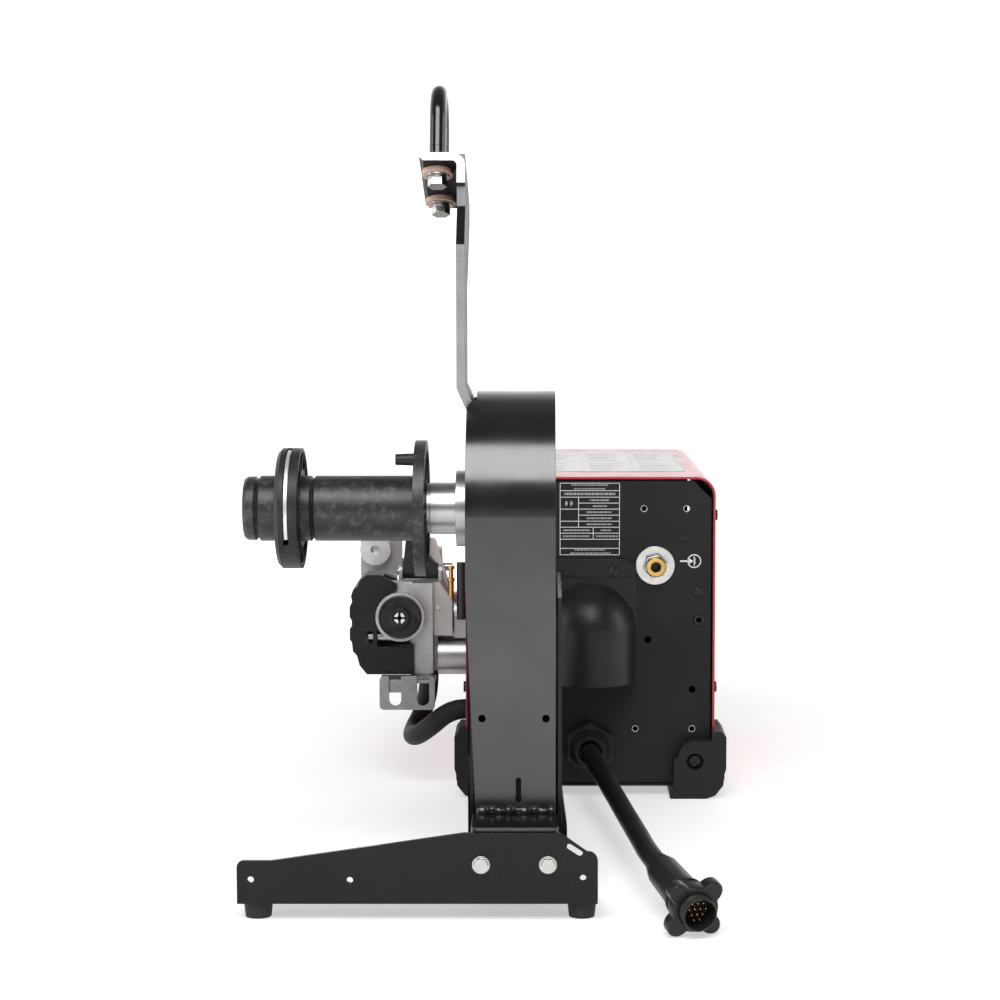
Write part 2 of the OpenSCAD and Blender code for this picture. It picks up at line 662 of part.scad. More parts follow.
module gas_inlet() part("#c39a4a") difference() {
    union() {
        slab_y(panel_y - 15, panel_y - 2) translate([gas_x, gas_z]) rotate(15) hex_2d(19);
        rod_y(panel_y - 2.5, panel_y + 20, gas_x, gas_z, 9);
    }
    rod_y(panel_y - 16, panel_y - 3, gas_x, gas_z, 6.6);
    rod_y(panel_y - 16, panel_y + 21, gas_x, gas_z, 3);
}

module gas_washer() part("#d0d2d4") difference() {
    rod_y(panel_y - 2, panel_y, gas_x, gas_z, 17);
    rod_y(panel_y - 3, panel_y + 1, gas_x, gas_z, 9.05);
}

module cable_gland() part("#1e1e1f") difference() {
    union() {
        rod_y(panel_y, panel_y + 16, gland_x, gland_z, 14.3);
        slab_y(panel_y - 14, panel_y) translate([gland_x, gland_z]) rotate(30) hex_2d(40);
        translate([gland_x, panel_y - 31, gland_z]) rotate([-90, 0, 0])
            cylinder(h = 17.5, r1 = 13.5, r2 = 18.4);
        slab_y(panel_y + panel_t, panel_y + 8) translate([gland_x, gland_z]) hex_2d(34);
    }
    rod_y(panel_y - 40, panel_y - 20, gland_x, gland_z, 10.4);
    rod_y(236, panel_y + 20, gland_x, gland_z, cable_d / 2);
}

module rating_plate() part("#1a1a1b") block([37.9, panel_y - 0.5, 215.4], [91.5, panel_y, 279.8]);

module control_board() part("#1f5c3a") {
    block([-30, face_y - 16, 60], [160, face_y - 14.4, 270]);
    for (x = [-10, 40, 90, 130]) block([x, face_y - 34, 110], [x + 16, face_y - 15.9, 140]);
    for (x = [-24, 154], z = [66, 264]) rod_y(face_y - 16, face_y - panel_t, x, z, 2.2);
}

module drive_motor() part("#2d2f31") {
    rod_x(-40, 10, pinion_y, roll_lo_z, 25);
    rod_x(8, 95, pinion_y, roll_lo_z, 31.5);
    rod_x(94, 98, pinion_y, roll_lo_z, 12);
}

module gas_solenoid() part("#8c7434") {
    block([104, panel_y + 22, 190], [140, panel_y + 52, 222]);
    rod_z(221, 252, 122, panel_y + 37, 13);
    rod_y(panel_y + 20, panel_y + 23, gas_x, gas_z, 9);
    rod_y(panel_y + 51, panel_y + 70, gas_x, gas_z, 4.5);
}

module display_window() part("#3a1416") {
    block([5.2, face_y - panel_t, 205.2], [124.8, face_y + 0.8, 254.8]);
}

module knob(x) difference() {
    union() {
        rod_y(face_y + 0.6, face_y + 6, x, knob_z, 20);
        rod_y(face_y + 5, face_y + 26.5, x, knob_z, 15.5);
        rod_y(face_y - 6, face_y + 1, x, knob_z, 3);
    }
    for (a = [0:45:315]) translate([x, 0, knob_z]) rotate([0, a, 0])
        rod_y(face_y + 8, face_y + 28, 17, 0, 3);
    block([x - 0.8, face_y + 25, knob_z + 3], [x + 0.8, face_y + 28, knob_z + 12]);
}

module speed_knob() part("#1d1d1e") knob(speed_x);
module volts_knob() part("#1d1d1e") knob(volts_x);

// The bushing is fixed in the panel and the bat swings inside it
module toggle_bushing() part("#9a9c9e") difference() {
    union() {
        rod_y(face_y - 10, face_y + 4, toggle_at[0], toggle_at[1], 5.4);
        slab_y(face_y, face_y + 2) translate(toggle_at) hex_2d(15);
    }
    rod_y(face_y - 8, face_y + 5, toggle_at[0], toggle_at[1], 4.4);
}

module mode_toggle() part("#c8cacc") translate([toggle_at[0], face_y - 2, toggle_at[1]])
    rotate([-90, 0, 0]) rotate_extrude() polygon([
        [0, -2.4], [1.4, -2.4], [2.8, 0], [2.4, 1.6], [1.6, 2.6], [2.6, 18], [2.2, 19.4], [0, 19.4]
    ]);

module jog_button() part("#b01c1c") {
    rod_y(face_y - 8, face_y + 7, jog_at[0], jog_at[1], 5.1);
}

module trigger_socket() part("#232324") difference() {
    union() {
        rod_y(face_y - 20, face_y + 1, 65, 45, 12);
        rod_y(face_y, face_y + 3, 65, 45, 16);
        rod_y(face_y + 2, face_y + 10, 65, 45, 11.4);
    }
    rod_y(face_y + 2, face_y + 11, 65, 45, 9.8);
}

// ---- wire drive ----------------------------------------------------------------------------

module drive_casting() part("#b8b8b6") difference() {
    union() {
        block([plate_x0, 318, 104], [plate_x1, 512, 160]);
        block([-97, 300, 104], [-75.7, 341, 186]);
        slab_y(306, 341) polygon([[-84.6, 138], [-58.3, 138], [-58.3, 170], [-70, 186], [-84.6, 186]]);
        block([plate_x0, 486, 150], [plate_x1, 512, 190]);
        rod_y(288, 312, wire_x, wire_z, 22);
        rod_y(478, 506, wire_x, wire_z, 14.4);
        block([-106, 300.5, 140], [-90, 316, 172]);
        block([-106, 484, 140], [-88, 506, 174]);
        block([-117.5, 300.5, 178], [-94, 312, 187.5]);
        for (x = [[-107.6, -104.3], [-71.7, -68.4]]) slab_x(x[0], x[1]) {
            translate(lever_pivot) circle(6);
            translate([lever_pivot[0] - 6, 180]) square([12, lever_pivot[1] - 180]);
        }
        block([-107.6, 322, 180], [-96, 334, 186]);
        block([-155, 484, 170], [-114.5, 490, 205]);
        block([-130, 484, 165], [-100, 490, 180]);
    }
    rod_y(287, 296.5, wire_x, wire_z, 19.2);
    rod_y(280, 330, wire_x, wire_z, 6);
    rod_y(470, 520, wire_x, wire_z, 9);
    rod_y(295, 320, guard_pin[0], guard_pin[1], 2);
    rod_x(-135, -96.5, 306.5, 137, 5.65);
    for (y = roll_y) rod_x(plate_x0 - 1, plate_x1 + 1, y, roll_lo_z, 5.9);
    rod_x(plate_x0 - 1, plate_x1 + 1, pinion_y, roll_lo_z, 9);
    rod_x(-120, -60, arm_pivot[0], arm_pivot[1], 4);
    rod_y(483, 492, clamp_c[0], clamp_c[1], 5.1);
    block([-91, 477, 161], [-71, 513, 191]);
    rod_x(-110, -60, lever_pivot[0], lever_pivot[1], 3);
    rod_y(328, 342, latch_pivot[0], latch_pivot[2], 2);
}

module gearbox_boss() part("#a9abac") {
    rod_x(plate_x1, box_x0 + 4, 325, 117, 17.5);
    rod_x(plate_x1, -40, pinion_y, roll_lo_z, 25);
    block([-57, 312, 134.6], [-45, 340, 155]);
}

module roll_shafts() part("#c8cacc") {
    for (y = roll_y) {
        rod_x(roll_x0 - 1, plate_x1, y, roll_lo_z, 5.9);
        rod_x(roll_x0 - 6, roll_x0 - gap, y, roll_lo_z, 11);
    }
    rod_y(297.5, 318, guard_pin[0], guard_pin[1], 1.95);
    rod_x(-134, -97, 306.5, 137, 5.6);
    rod_x(-96, -66, arm_pivot[0], arm_pivot[1], 3.95);
    rod_x(-108.6, -67.4, lever_pivot[0], lever_pivot[1], 2.95);
    rod_y(330, 349.5, latch_pivot[0], latch_pivot[2], 1.95);
}

module roll(y, z, phase) difference() {
    union() {
        translate([roll_x0, y, z]) rotate([0, 90, 0]) rotate_extrude() polygon([
            [5.9 + fit, 0], [roll_r - 0.4, 0], [roll_r - 0.4, 6.2], [roll_r - 1.2, 7], [roll_r - 0.4, 7.8],
            [roll_r - 0.4, 14], [5.9 + fit, 14]
        ]);
        translate([gear_x0, y, z]) rotate([90, 0, 90]) linear_extrude(gear_w)
            gear_2d(roll_teeth, roll_r, phase);
    }
    rod_x(roll_x0 - 1, gear_x0 + gear_w + 1, y, z, 5.9 + fit);
}

module rear_lower_roll() part("#bfa24a") roll(roll_y[0], roll_lo_z, 0);
module front_lower_roll() part("#bfa24a") roll(roll_y[1], roll_lo_z, 0);
module rear_upper_roll() part("#bfa24a") roll(roll_y[0], roll_hi_z, 5);
module front_upper_roll() part("#bfa24a") roll(roll_y[1], roll_hi_z, 5);

module drive_pinion() part("#9da1a4") {
    translate([gear_x0, pinion_y, roll_lo_z]) rotate([90, 0, 90]) linear_extrude(gear_w)
        gear_2d(pinion_teeth, pinion_r, 180 / pinion_teeth);
    rod_x(gear_x0 + gear_w - 0.5, -74, pinion_y, roll_lo_z, 7);
}

module pressure_arm() part("#a6a8a9") {
    difference() {
        slab_x(plate_x0 + 0.4, plate_x1 - 4) polygon([
            [350, 166], [350, 190], [360, 198], [490, 198], [arm_pivot[0] + 6, arm_pivot[1] + 8],
            [arm_pivot[0] + 6, arm_pivot[1] - 6], [484, 163], [356, 163]
        ]);
        rod_x(-120, -60, arm_pivot[0], arm_pivot[1], 3.95 + fit);
    }
    for (y = roll_y) {
        rod_x(roll_x0 - 1, plate_x0 + 1, y, roll_hi_z, 5.9);
        rod_x(roll_x0 - 4, roll_x0 - gap, y, roll_hi_z, 9);
    }
}

module tension_lever() part("#1f1f20") difference() {
    union() {
        slab_y(lever_pivot[0] - 7, lever_pivot[0] + 7) polygon([
            [-104, lever_pivot[1]], [-72, lever_pivot[1]], [-74, 201], [-82, 210],
            [-84, 232], [-100, 232], [-102, 214]
        ]);
        rod_x(-104, -72, lever_pivot[0], lever_pivot[1], 7.2);
        rod_z(231, 256, -92, lever_pivot[0], 10);
    }
    rod_x(-105, -71, lever_pivot[0], lever_pivot[1], 3);
    for (a = [0:30:330]) translate([-92, lever_pivot[0], 0]) rotate([0, 0, a])
        rod_z(235, 260, 10.6, 0, 1.5);
}

module guard_outline() polygon([
    [-107.8, 186], [-122, 194], [-135.5, 194], [-141, 189], [-143, 183], [-147, 181],
    [-149, 175], [-148, 170],
    [-150.3, 165], [-150.3, 156], [-148.4, 153], [-148.4, 148], [-150.3, 145], [-150.3, 136], [-148.4, 133],
    [-147.6, 125], [-144, 121], [-141.6, 112], [-135, 104], [-92.6, 104], [-92.6, 128], [-100, 140]
]);

// Everything below the guard's roof, which falls towards the front of the feeder
module under_roof(drop) slab_x(-170, -80) polygon([
    [280, 90], [280, 195 - drop], [321, 195 - drop], [480, 170 - drop], [480, 90]
]);

module guard_cover() part("#2a2a2b") {
    guard_shell();
    difference() {
        slab_y(313, 318) {
            translate(guard_pin) circle(6);
            polygon([guard_pin, guard_pin + [3, 5], [-119, 192.6], [-124, 192.6], [-124, 186]]);
        }
        rod_y(312, 319, guard_pin[0], guard_pin[1], 1.95 + fit);
    }
}

module guard_shell() difference() {
    intersection() {
        slab_y(guard_y0, guard_y1) guard_outline();
        under_roof(0);
    }
    intersection() {
        slab_y(guard_y0 + 2.6, guard_y1 - 2.6) polygon([
            [-100, 191.2], [-134, 191.2], [-139, 187], [-145, 174], [-147.4, 163],
            [-147.4, 138], [-144, 124], [-139, 113], [-134, 106.8], [-90, 106.8]
        ]);
        under_roof(2.6);
    }
    block([-124, 321, 150], [-80, guard_y1 - 2.6, 200]);
    slab_y(guard_y0 + 2.6, guard_y1 - 2.6) translate([-120, 150]) square([40, 50]);
    slab_y(guard_y0 + 2.6, guard_y1 + 1) translate([-98, 90]) square([20, 110]);
    slab_y(guard_y0 - 1, guard_y1 + 1) {
        translate([wire_x, wire_z]) circle(23);
        difference() {
            intersection() {
                translate(guard_pin) circle(51.5);
                polygon([guard_pin, guard_pin + [18, -57], [-40, 100], [-40, 220], [guard_pin[0], 220]]);
            }
            translate(guard_pin) circle(6);
        }
    }
    slab_y(guard_y1 - 3, guard_y1 + 1) translate([-120, 118]) square([40, 52]);
    slab_y(guard_y0 - 1, guard_y0 + 3) {
        translate([-137.4, 131.5]) square([8, 11.6]);
        translate([-125.7, 129]) square([28.6, 14]);
    }
    rod_y(guard_y0 - 1, guard_y1 + 1, guard_pin[0], guard_pin[1], 1.95 + fit);
}

module inlet_guide() part("#1f1f20") difference() {
    union() {
        rod_y(286, 296.5, wire_x, wire_z, 19.1);
        rod_y(284, 287, wire_x, wire_z, 9.5);
        rod_y(296, 318, wire_x, wire_z, 6);
    }
    rod_y(283, 320, wire_x, wire_z, 2);
    rod_y(283, 287, wire_x, wire_z, 5.2);
    for (a = [107, -15, -132]) translate([wire_x, 0, wire_z]) rotate([0, -a, 0])
        rod_y(285, 288, 14.5, 0, 1.9);
}

module gun_bushing() part("#b98a3c") difference() {
    rod_y(480, 530, wire_x, wire_z, 9);
    rod_y(490, 531, wire_x, wire_z, 6.4);
    rod_y(479, 500, wire_x, wire_z, 2);
}

module clamp_knob() part("#c8cacc") difference() {
    union() {
        rod_y(474, 483.6, clamp_c[0], clamp_c[1], 15);
        rod_y(483, 500, clamp_c[0], clamp_c[1], 5.05);
    }
    rod_y(473, 480, clamp_c[0], clamp_c[1], 4.4);
}

module lower_bracket() part("#8b8d8f") difference() {
    union() {
        slab_y(286, 289) round_rect([-123.2, 73.5], [-73.6, 104], 4);
        block([-123.2, 286, 97], [-73.6, 318, 100]);
        block([-96, 301, 99], [-78, 318, 104]);
        block([-122, 288.5, 88.5], [-98, 316, 98]);
    }
    for (x = [-109.2, -83.9]) slab_y(285, 290) slot_2d([x, 82.5], [x, 108], 5.4);
}

module latch_lever() part("#d5d5d2") difference() {
    slab_y(latch_pivot[1] - 3, latch_pivot[1] + 3) translate([latch_pivot[0], latch_pivot[2]]) rotate(17) {
        circle(4.4);
        translate([-4.4, 0]) square([8.8, 47]);
        translate([0, 47]) circle(4.4);
    }
    rod_y(latch_pivot[1] - 4, latch_pivot[1] + 4, latch_pivot[0], latch_pivot[2], 2);
}

module weld_lead() part("#242425") tube(smooth_path(lead_route, 2), lead_d / 2, 12, [1, 1, 0]);

// ---- control cable -------------------------------------------------------------------------

module control_cable() part("#1b1b1c") tube(cable_route, cable_d / 2, 12, [0, 0, 1]);

// Frame at the end of the cable, third axis along the plug
module plug_frame() translate(plug_start)
    rotate([0, 0, plug_turn[2]]) rotate([90 + plug_turn[0], 0, 0]) children();

module plug_shell() part("#1e1e1f") plug_frame() difference() {
    union() {
        cylinder(h = 26, r1 = 8.9, r2 = 14.6);
        translate([0, 0, 25]) cylinder(h = 36, r1 = 14.6, r2 = 15.8);
        translate([0, 0, 60]) cylinder(h = ring_z - 60.5, r = 14.2);
        translate([0, 0, 60]) cylinder(h = plug_len - 60, r = plug_r);
    }
    translate([0, 0, pin_z]) cylinder(h = 20, r = 11.2);
}

module coupling_ring() part("#232324") plug_frame() translate([0, 0, ring_z])
    linear_extrude(12) difference() {
    union() {
        circle(17);
        for (a = [45:90:315]) rotate(a) translate([18.5, 0]) circle(6.7);
    }
    circle(plug_r + fit);
}

module plug_contacts() part("#c9a24a") plug_frame() {
    for (row = [0:3], k = [0:pin_rows[row] - 1])
        translate([(k - (pin_rows[row] - 1) / 2) * pin_pitch, (1.5 - row) * pin_pitch, pin_z])
            cylinder(h = 10, r = 0.8);
}

foot_beam();
rubber_feet();
mast_band();
mast_side_plates();
base_channel();
lift_strap();
lift_bail();
bail_washers();
hex_bolts();
spindle_shaft();
spool_hub();
drive_pin();
brake_spring();
brake_nut();
end_clip();
locking_collar();
release_bar();
case_shell();
rear_panel();
front_panel();
base_pan();
corner_boots();
case_screws();
cable_boot();
weld_stud();
gas_inlet();
gas_washer();
cable_gland();
rating_plate();
control_board();
drive_motor();
gas_solenoid();
display_window();
speed_knob();
volts_knob();
mode_toggle();
toggle_bushing();
jog_button();
trigger_socket();
drive_casting();
gearbox_boss();
drive_pinion();
rear_lower_roll();
front_lower_roll();
rear_upper_roll();
front_upper_roll();
roll_shafts();
pressure_arm();
tension_lever();
guard_cover();
inlet_guide();
gun_bushing();
clamp_knob();
lower_bracket();
latch_lever();
weld_lead();
control_cable();
plug_shell();
coupling_ring();
plug_contacts();
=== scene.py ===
import json
import math
import random

import bmesh
import bpy
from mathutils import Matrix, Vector


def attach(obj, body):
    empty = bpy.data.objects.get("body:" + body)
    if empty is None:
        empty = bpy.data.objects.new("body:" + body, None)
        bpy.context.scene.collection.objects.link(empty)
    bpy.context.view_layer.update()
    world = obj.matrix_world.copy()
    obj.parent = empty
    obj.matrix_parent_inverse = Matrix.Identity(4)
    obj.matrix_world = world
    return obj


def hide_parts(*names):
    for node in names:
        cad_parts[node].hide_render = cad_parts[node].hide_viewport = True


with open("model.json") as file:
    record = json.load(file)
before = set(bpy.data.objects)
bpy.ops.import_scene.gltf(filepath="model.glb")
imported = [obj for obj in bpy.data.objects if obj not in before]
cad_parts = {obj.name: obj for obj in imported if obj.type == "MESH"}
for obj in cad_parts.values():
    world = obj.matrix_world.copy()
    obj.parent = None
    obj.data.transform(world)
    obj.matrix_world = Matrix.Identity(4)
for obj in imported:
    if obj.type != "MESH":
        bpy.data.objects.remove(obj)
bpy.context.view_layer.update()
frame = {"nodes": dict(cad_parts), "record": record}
SHIFT = Vector((0.010, -0.245, 0.0))  # from the layout (spool axis, middle of the mast) to the row frame


def at(x, y, z):
    """A point of the layout, in millimetres, in the row frame."""
    return Vector((x, y, z)) / 1000 + SHIFT


# ---- camera --------------------------------------------------------------------------------
CAMERA_DIP = 5.39  # degrees below the horizon

cam = bpy.data.objects.new("camera", bpy.data.cameras.new("camera"))
bpy.context.scene.collection.objects.link(cam)
cam.location = (0.0352, -1.9865, 0.453)
cam.rotation_euler = (math.radians(90 - CAMERA_DIP), 0, 0)
cam.data.lens = 82.44
cam.data.sensor_width = 36
cam.data.shift_x = -0.045
cam.data.shift_y = 0.001
bpy.context.scene.camera = cam

# ---- control cable -------------------------------------------------------------------------
CABLE = [
    (65, 236, 45), (65.8, 222, 45), (67.6, 205, 44.5), (70, 185, 43.5), (72.8, 165, 42.5), (75.6, 143, 41.7),
    (78.4, 120, 40.8), (81.2, 97, 39.9), (84, 74, 39), (86.7, 51, 38.2), (89.3, 28, 37.5), (92, 5, 37),
    (94.6, -18, 36.5), (97, -40, 36.2), (99, -60, 36), (101.2, -79, 35.7), (104, -94, 34.9), (107, -105, 33),
]


def link_object(name, data):
    obj = bpy.data.objects.new(name, data)
    bpy.context.scene.collection.objects.link(obj)
    return obj


def mesh_piece(name, bm, smooth=35, bevel=0.0):
    """An object from a bmesh, smoothed below an angle in degrees and with edges rounded by millimetres."""
    bmesh.ops.recalc_face_normals(bm, faces=bm.faces)
    data = bpy.data.meshes.new(name)
    bm.to_mesh(data)
    bm.free()
    for p in data.polygons:
        p.use_smooth = True
    data.set_sharp_from_angle(angle=math.radians(smooth))
    obj = link_object(name, data)
    if bevel:
        mod = obj.modifiers.new("round", "BEVEL")
        mod.width = bevel / 1000
        mod.segments = 2
        mod.limit_method = "ANGLE"
        mod.angle_limit = math.radians(35)
        mod.use_clamp_overlap = True
    return obj


def spline(points, steps):
    """Points of a smooth line through points, in the layout's millimetres."""
    p = [Vector(q) for q in points]
    out = []
    for i in range(len(p) - 1):
        a, b, c, d = p[max(i - 1, 0)], p[i], p[i + 1], p[min(i + 2, len(p) - 1)]
        for k in range(steps):
            t = k / steps
            out.append(0.5 * (2 * b + (c - a) * t + (2 * a - 5 * b + 4 * c - d) * t * t
                              + (3 * b - a - 3 * c + d) * t * t * t))
    return out + [p[-1]]


def sweep(bm, line, radius, sides=24, up=(0, 0, 1)):
    """A tube along line; radius is a number or a function of the share of the way and the angle."""
    last = len(line) - 1
    rings = []
    for i, c in enumerate(line):
        t = (line[min(i + 1, last)] - line[max(i - 1, 0)]).normalized()
        u = t.cross(Vector(up)).normalized()
        v = u.cross(t)
        ring = []
        for k in range(sides):
            a = 2 * math.pi * k / sides
            r = radius(i / last, a) if callable(radius) else radius
            ring.append(bm.verts.new(at(*(c + r * (math.cos(a) * u + math.sin(a) * v)))))
        rings.append(ring)
    for a, b in zip(rings, rings[1:]):
        for k in range(sides):
            bm.faces.new((a[k], a[(k + 1) % sides], b[(k + 1) % sides], b[k]))
    bm.faces.new(rings[0])
    bm.faces.new(rings[-1])


bm = bmesh.new()
cable_line = spline(CABLE, 6)
sweep(bm, cable_line, lambda t, a: 7.95 + 0.05 * math.sin(3 * a + 9 * t), 32)
cable = mesh_piece("cable", bm, 60)


# ---- materials -----------------------------------------------------------------------------
class Graph:
    """A material's node graph, with short calls for the nodes used here."""

    def __init__(self, name):
        self.mat = bpy.data.materials.new(name)
        self.mat.use_nodes = True
        self.tree = self.mat.node_tree
        self.tree.nodes.clear()
        self.shader = self.node("ShaderNodeBsdfPrincipled")
        out = self.node("ShaderNodeOutputMaterial")
        self.tree.links.new(self.shader.outputs[0], out.inputs[0])
        self.coords = self.node("ShaderNodeTexCoord").outputs["Object"]

    def node(self, kind, **values):
        n = self.tree.nodes.new(kind)
        for k, v in values.items():
            setattr(n, k, v)
        return n

    def link(self, a, b):
        self.tree.links.new(a, b)

    def mapped(self, stretch):
        m = self.node("ShaderNodeMapping")
        m.inputs["Scale"].default_value = stretch
        self.link(self.coords, m.inputs[0])
        return m.outputs[0]

    def noise(self, scale, detail=3.0, rough=0.55, stretch=None):
        n = self.node("ShaderNodeTexNoise")
        n.inputs["Scale"].default_value = scale
        n.inputs["Detail"].default_value = detail
        n.inputs["Roughness"].default_value = rough
        self.link(self.mapped(stretch) if stretch else self.coords, n.inputs["Vector"])
        return n.outputs["Fac"]

    def ramp(self, value, low, high, a=0.0, b=1.0):
        r = self.node("ShaderNodeMapRange")
        for socket, v in zip(("From Min", "From Max", "To Min", "To Max"), (low, high, a, b)):
            r.inputs[socket].default_value = v
        self.link(value, r.inputs[0])
        return r.outputs[0]

    def mix(self, fac, a, b):
        m = self.node("ShaderNodeMix", data_type="RGBA")
        for socket, v in ((m.inputs[0], fac), (m.inputs[6], a), (m.inputs[7], b)):
            if isinstance(v, bpy.types.NodeSocket):
                self.link(v, socket)
            elif socket is m.inputs[0]:
                socket.default_value = v
            else:
                socket.default_value = (*v, 1)
        return m.outputs[2]

    def math(self, op, a, b=0.5):
        m = self.node("ShaderNodeMath", operation=op)
        for socket, v in ((m.inputs[0], a), (m.inputs[1], b)):
            if isinstance(v, bpy.types.NodeSocket):
                self.link(v, socket)
            else:
                socket.default_value = v
        return m.outputs[0]

    def edges(self, radius):
        """1 near a sharp edge, 0 on flat faces."""
        bevel = self.node("ShaderNodeBevel", samples=4)
        bevel.inputs["Radius"].default_value = radius
        normal = self.node("ShaderNodeNewGeometry").outputs["Normal"]
        dot = self.node("ShaderNodeVectorMath", operation="DOT_PRODUCT")
        self.link(bevel.outputs[0], dot.inputs[0])
        self.link(normal, dot.inputs[1])
        return self.ramp(dot.outputs["Value"], 0.995, 0.9)


def finish_material(slot, colour, rough, metallic=0.0, tint=None, tint_scale=14, tint_amount=0.5,
                    grain=0.0, grain_scale=900, lumps=0.0, lumps_scale=120, stretch=None, rough_spread=0.06,
                    worn=None, worn_amount=0.6, dust=None, dust_amount=0.4, dust_scale=60, coat=0.0,
                    edge_r=0.0007, specular=0.5):
    g = Graph(slot)
    s = g.shader
    base = colour
    if tint:
        base = g.mix(g.ramp(g.noise(tint_scale, 4), 0.35, 0.68, 0, tint_amount), colour, tint)
    if dust:
        patch = g.ramp(g.noise(dust_scale, 6, 0.7), 0.5, 0.75, 0, dust_amount)
        base = g.mix(patch, base, dust)
    if worn:
        rub = g.math("MULTIPLY", g.edges(edge_r * 1.3), g.ramp(g.noise(220, 3), 0.4, 0.62, 0, worn_amount))
        base = g.mix(rub, base, worn)
    if isinstance(base, bpy.types.NodeSocket):
        g.link(base, s.inputs["Base Color"])
    else:
        s.inputs["Base Color"].default_value = (*base, 1)
    s.inputs["Metallic"].default_value = metallic
    smear = g.noise(35, 4, 0.6, stretch)
    g.link(g.ramp(smear, 0.3, 0.7, rough - rough_spread, rough + rough_spread), s.inputs["Roughness"])
    s.inputs["Coat Weight"].default_value = coat
    s.inputs["Coat Roughness"].default_value = 0.12
    s.inputs["Specular IOR Level"].default_value = specular
    bevel = g.node("ShaderNodeBevel", samples=4)
    bevel.inputs["Radius"].default_value = edge_r
    normal = bevel.outputs[0]
    for amount, scale in ((lumps, lumps_scale), (grain, grain_scale)):
        if amount:
            b = g.node("ShaderNodeBump")
            b.inputs["Strength"].default_value = 1.0
            b.inputs["Distance"].default_value = amount / 1000
            g.link(g.noise(scale, 3, 0.6, stretch if scale == grain_scale else None), b.inputs["Height"])
            g.link(normal, b.inputs["Normal"])
            normal = b.outputs[0]
    g.link(normal, s.inputs["Normal"])
    return g.mat


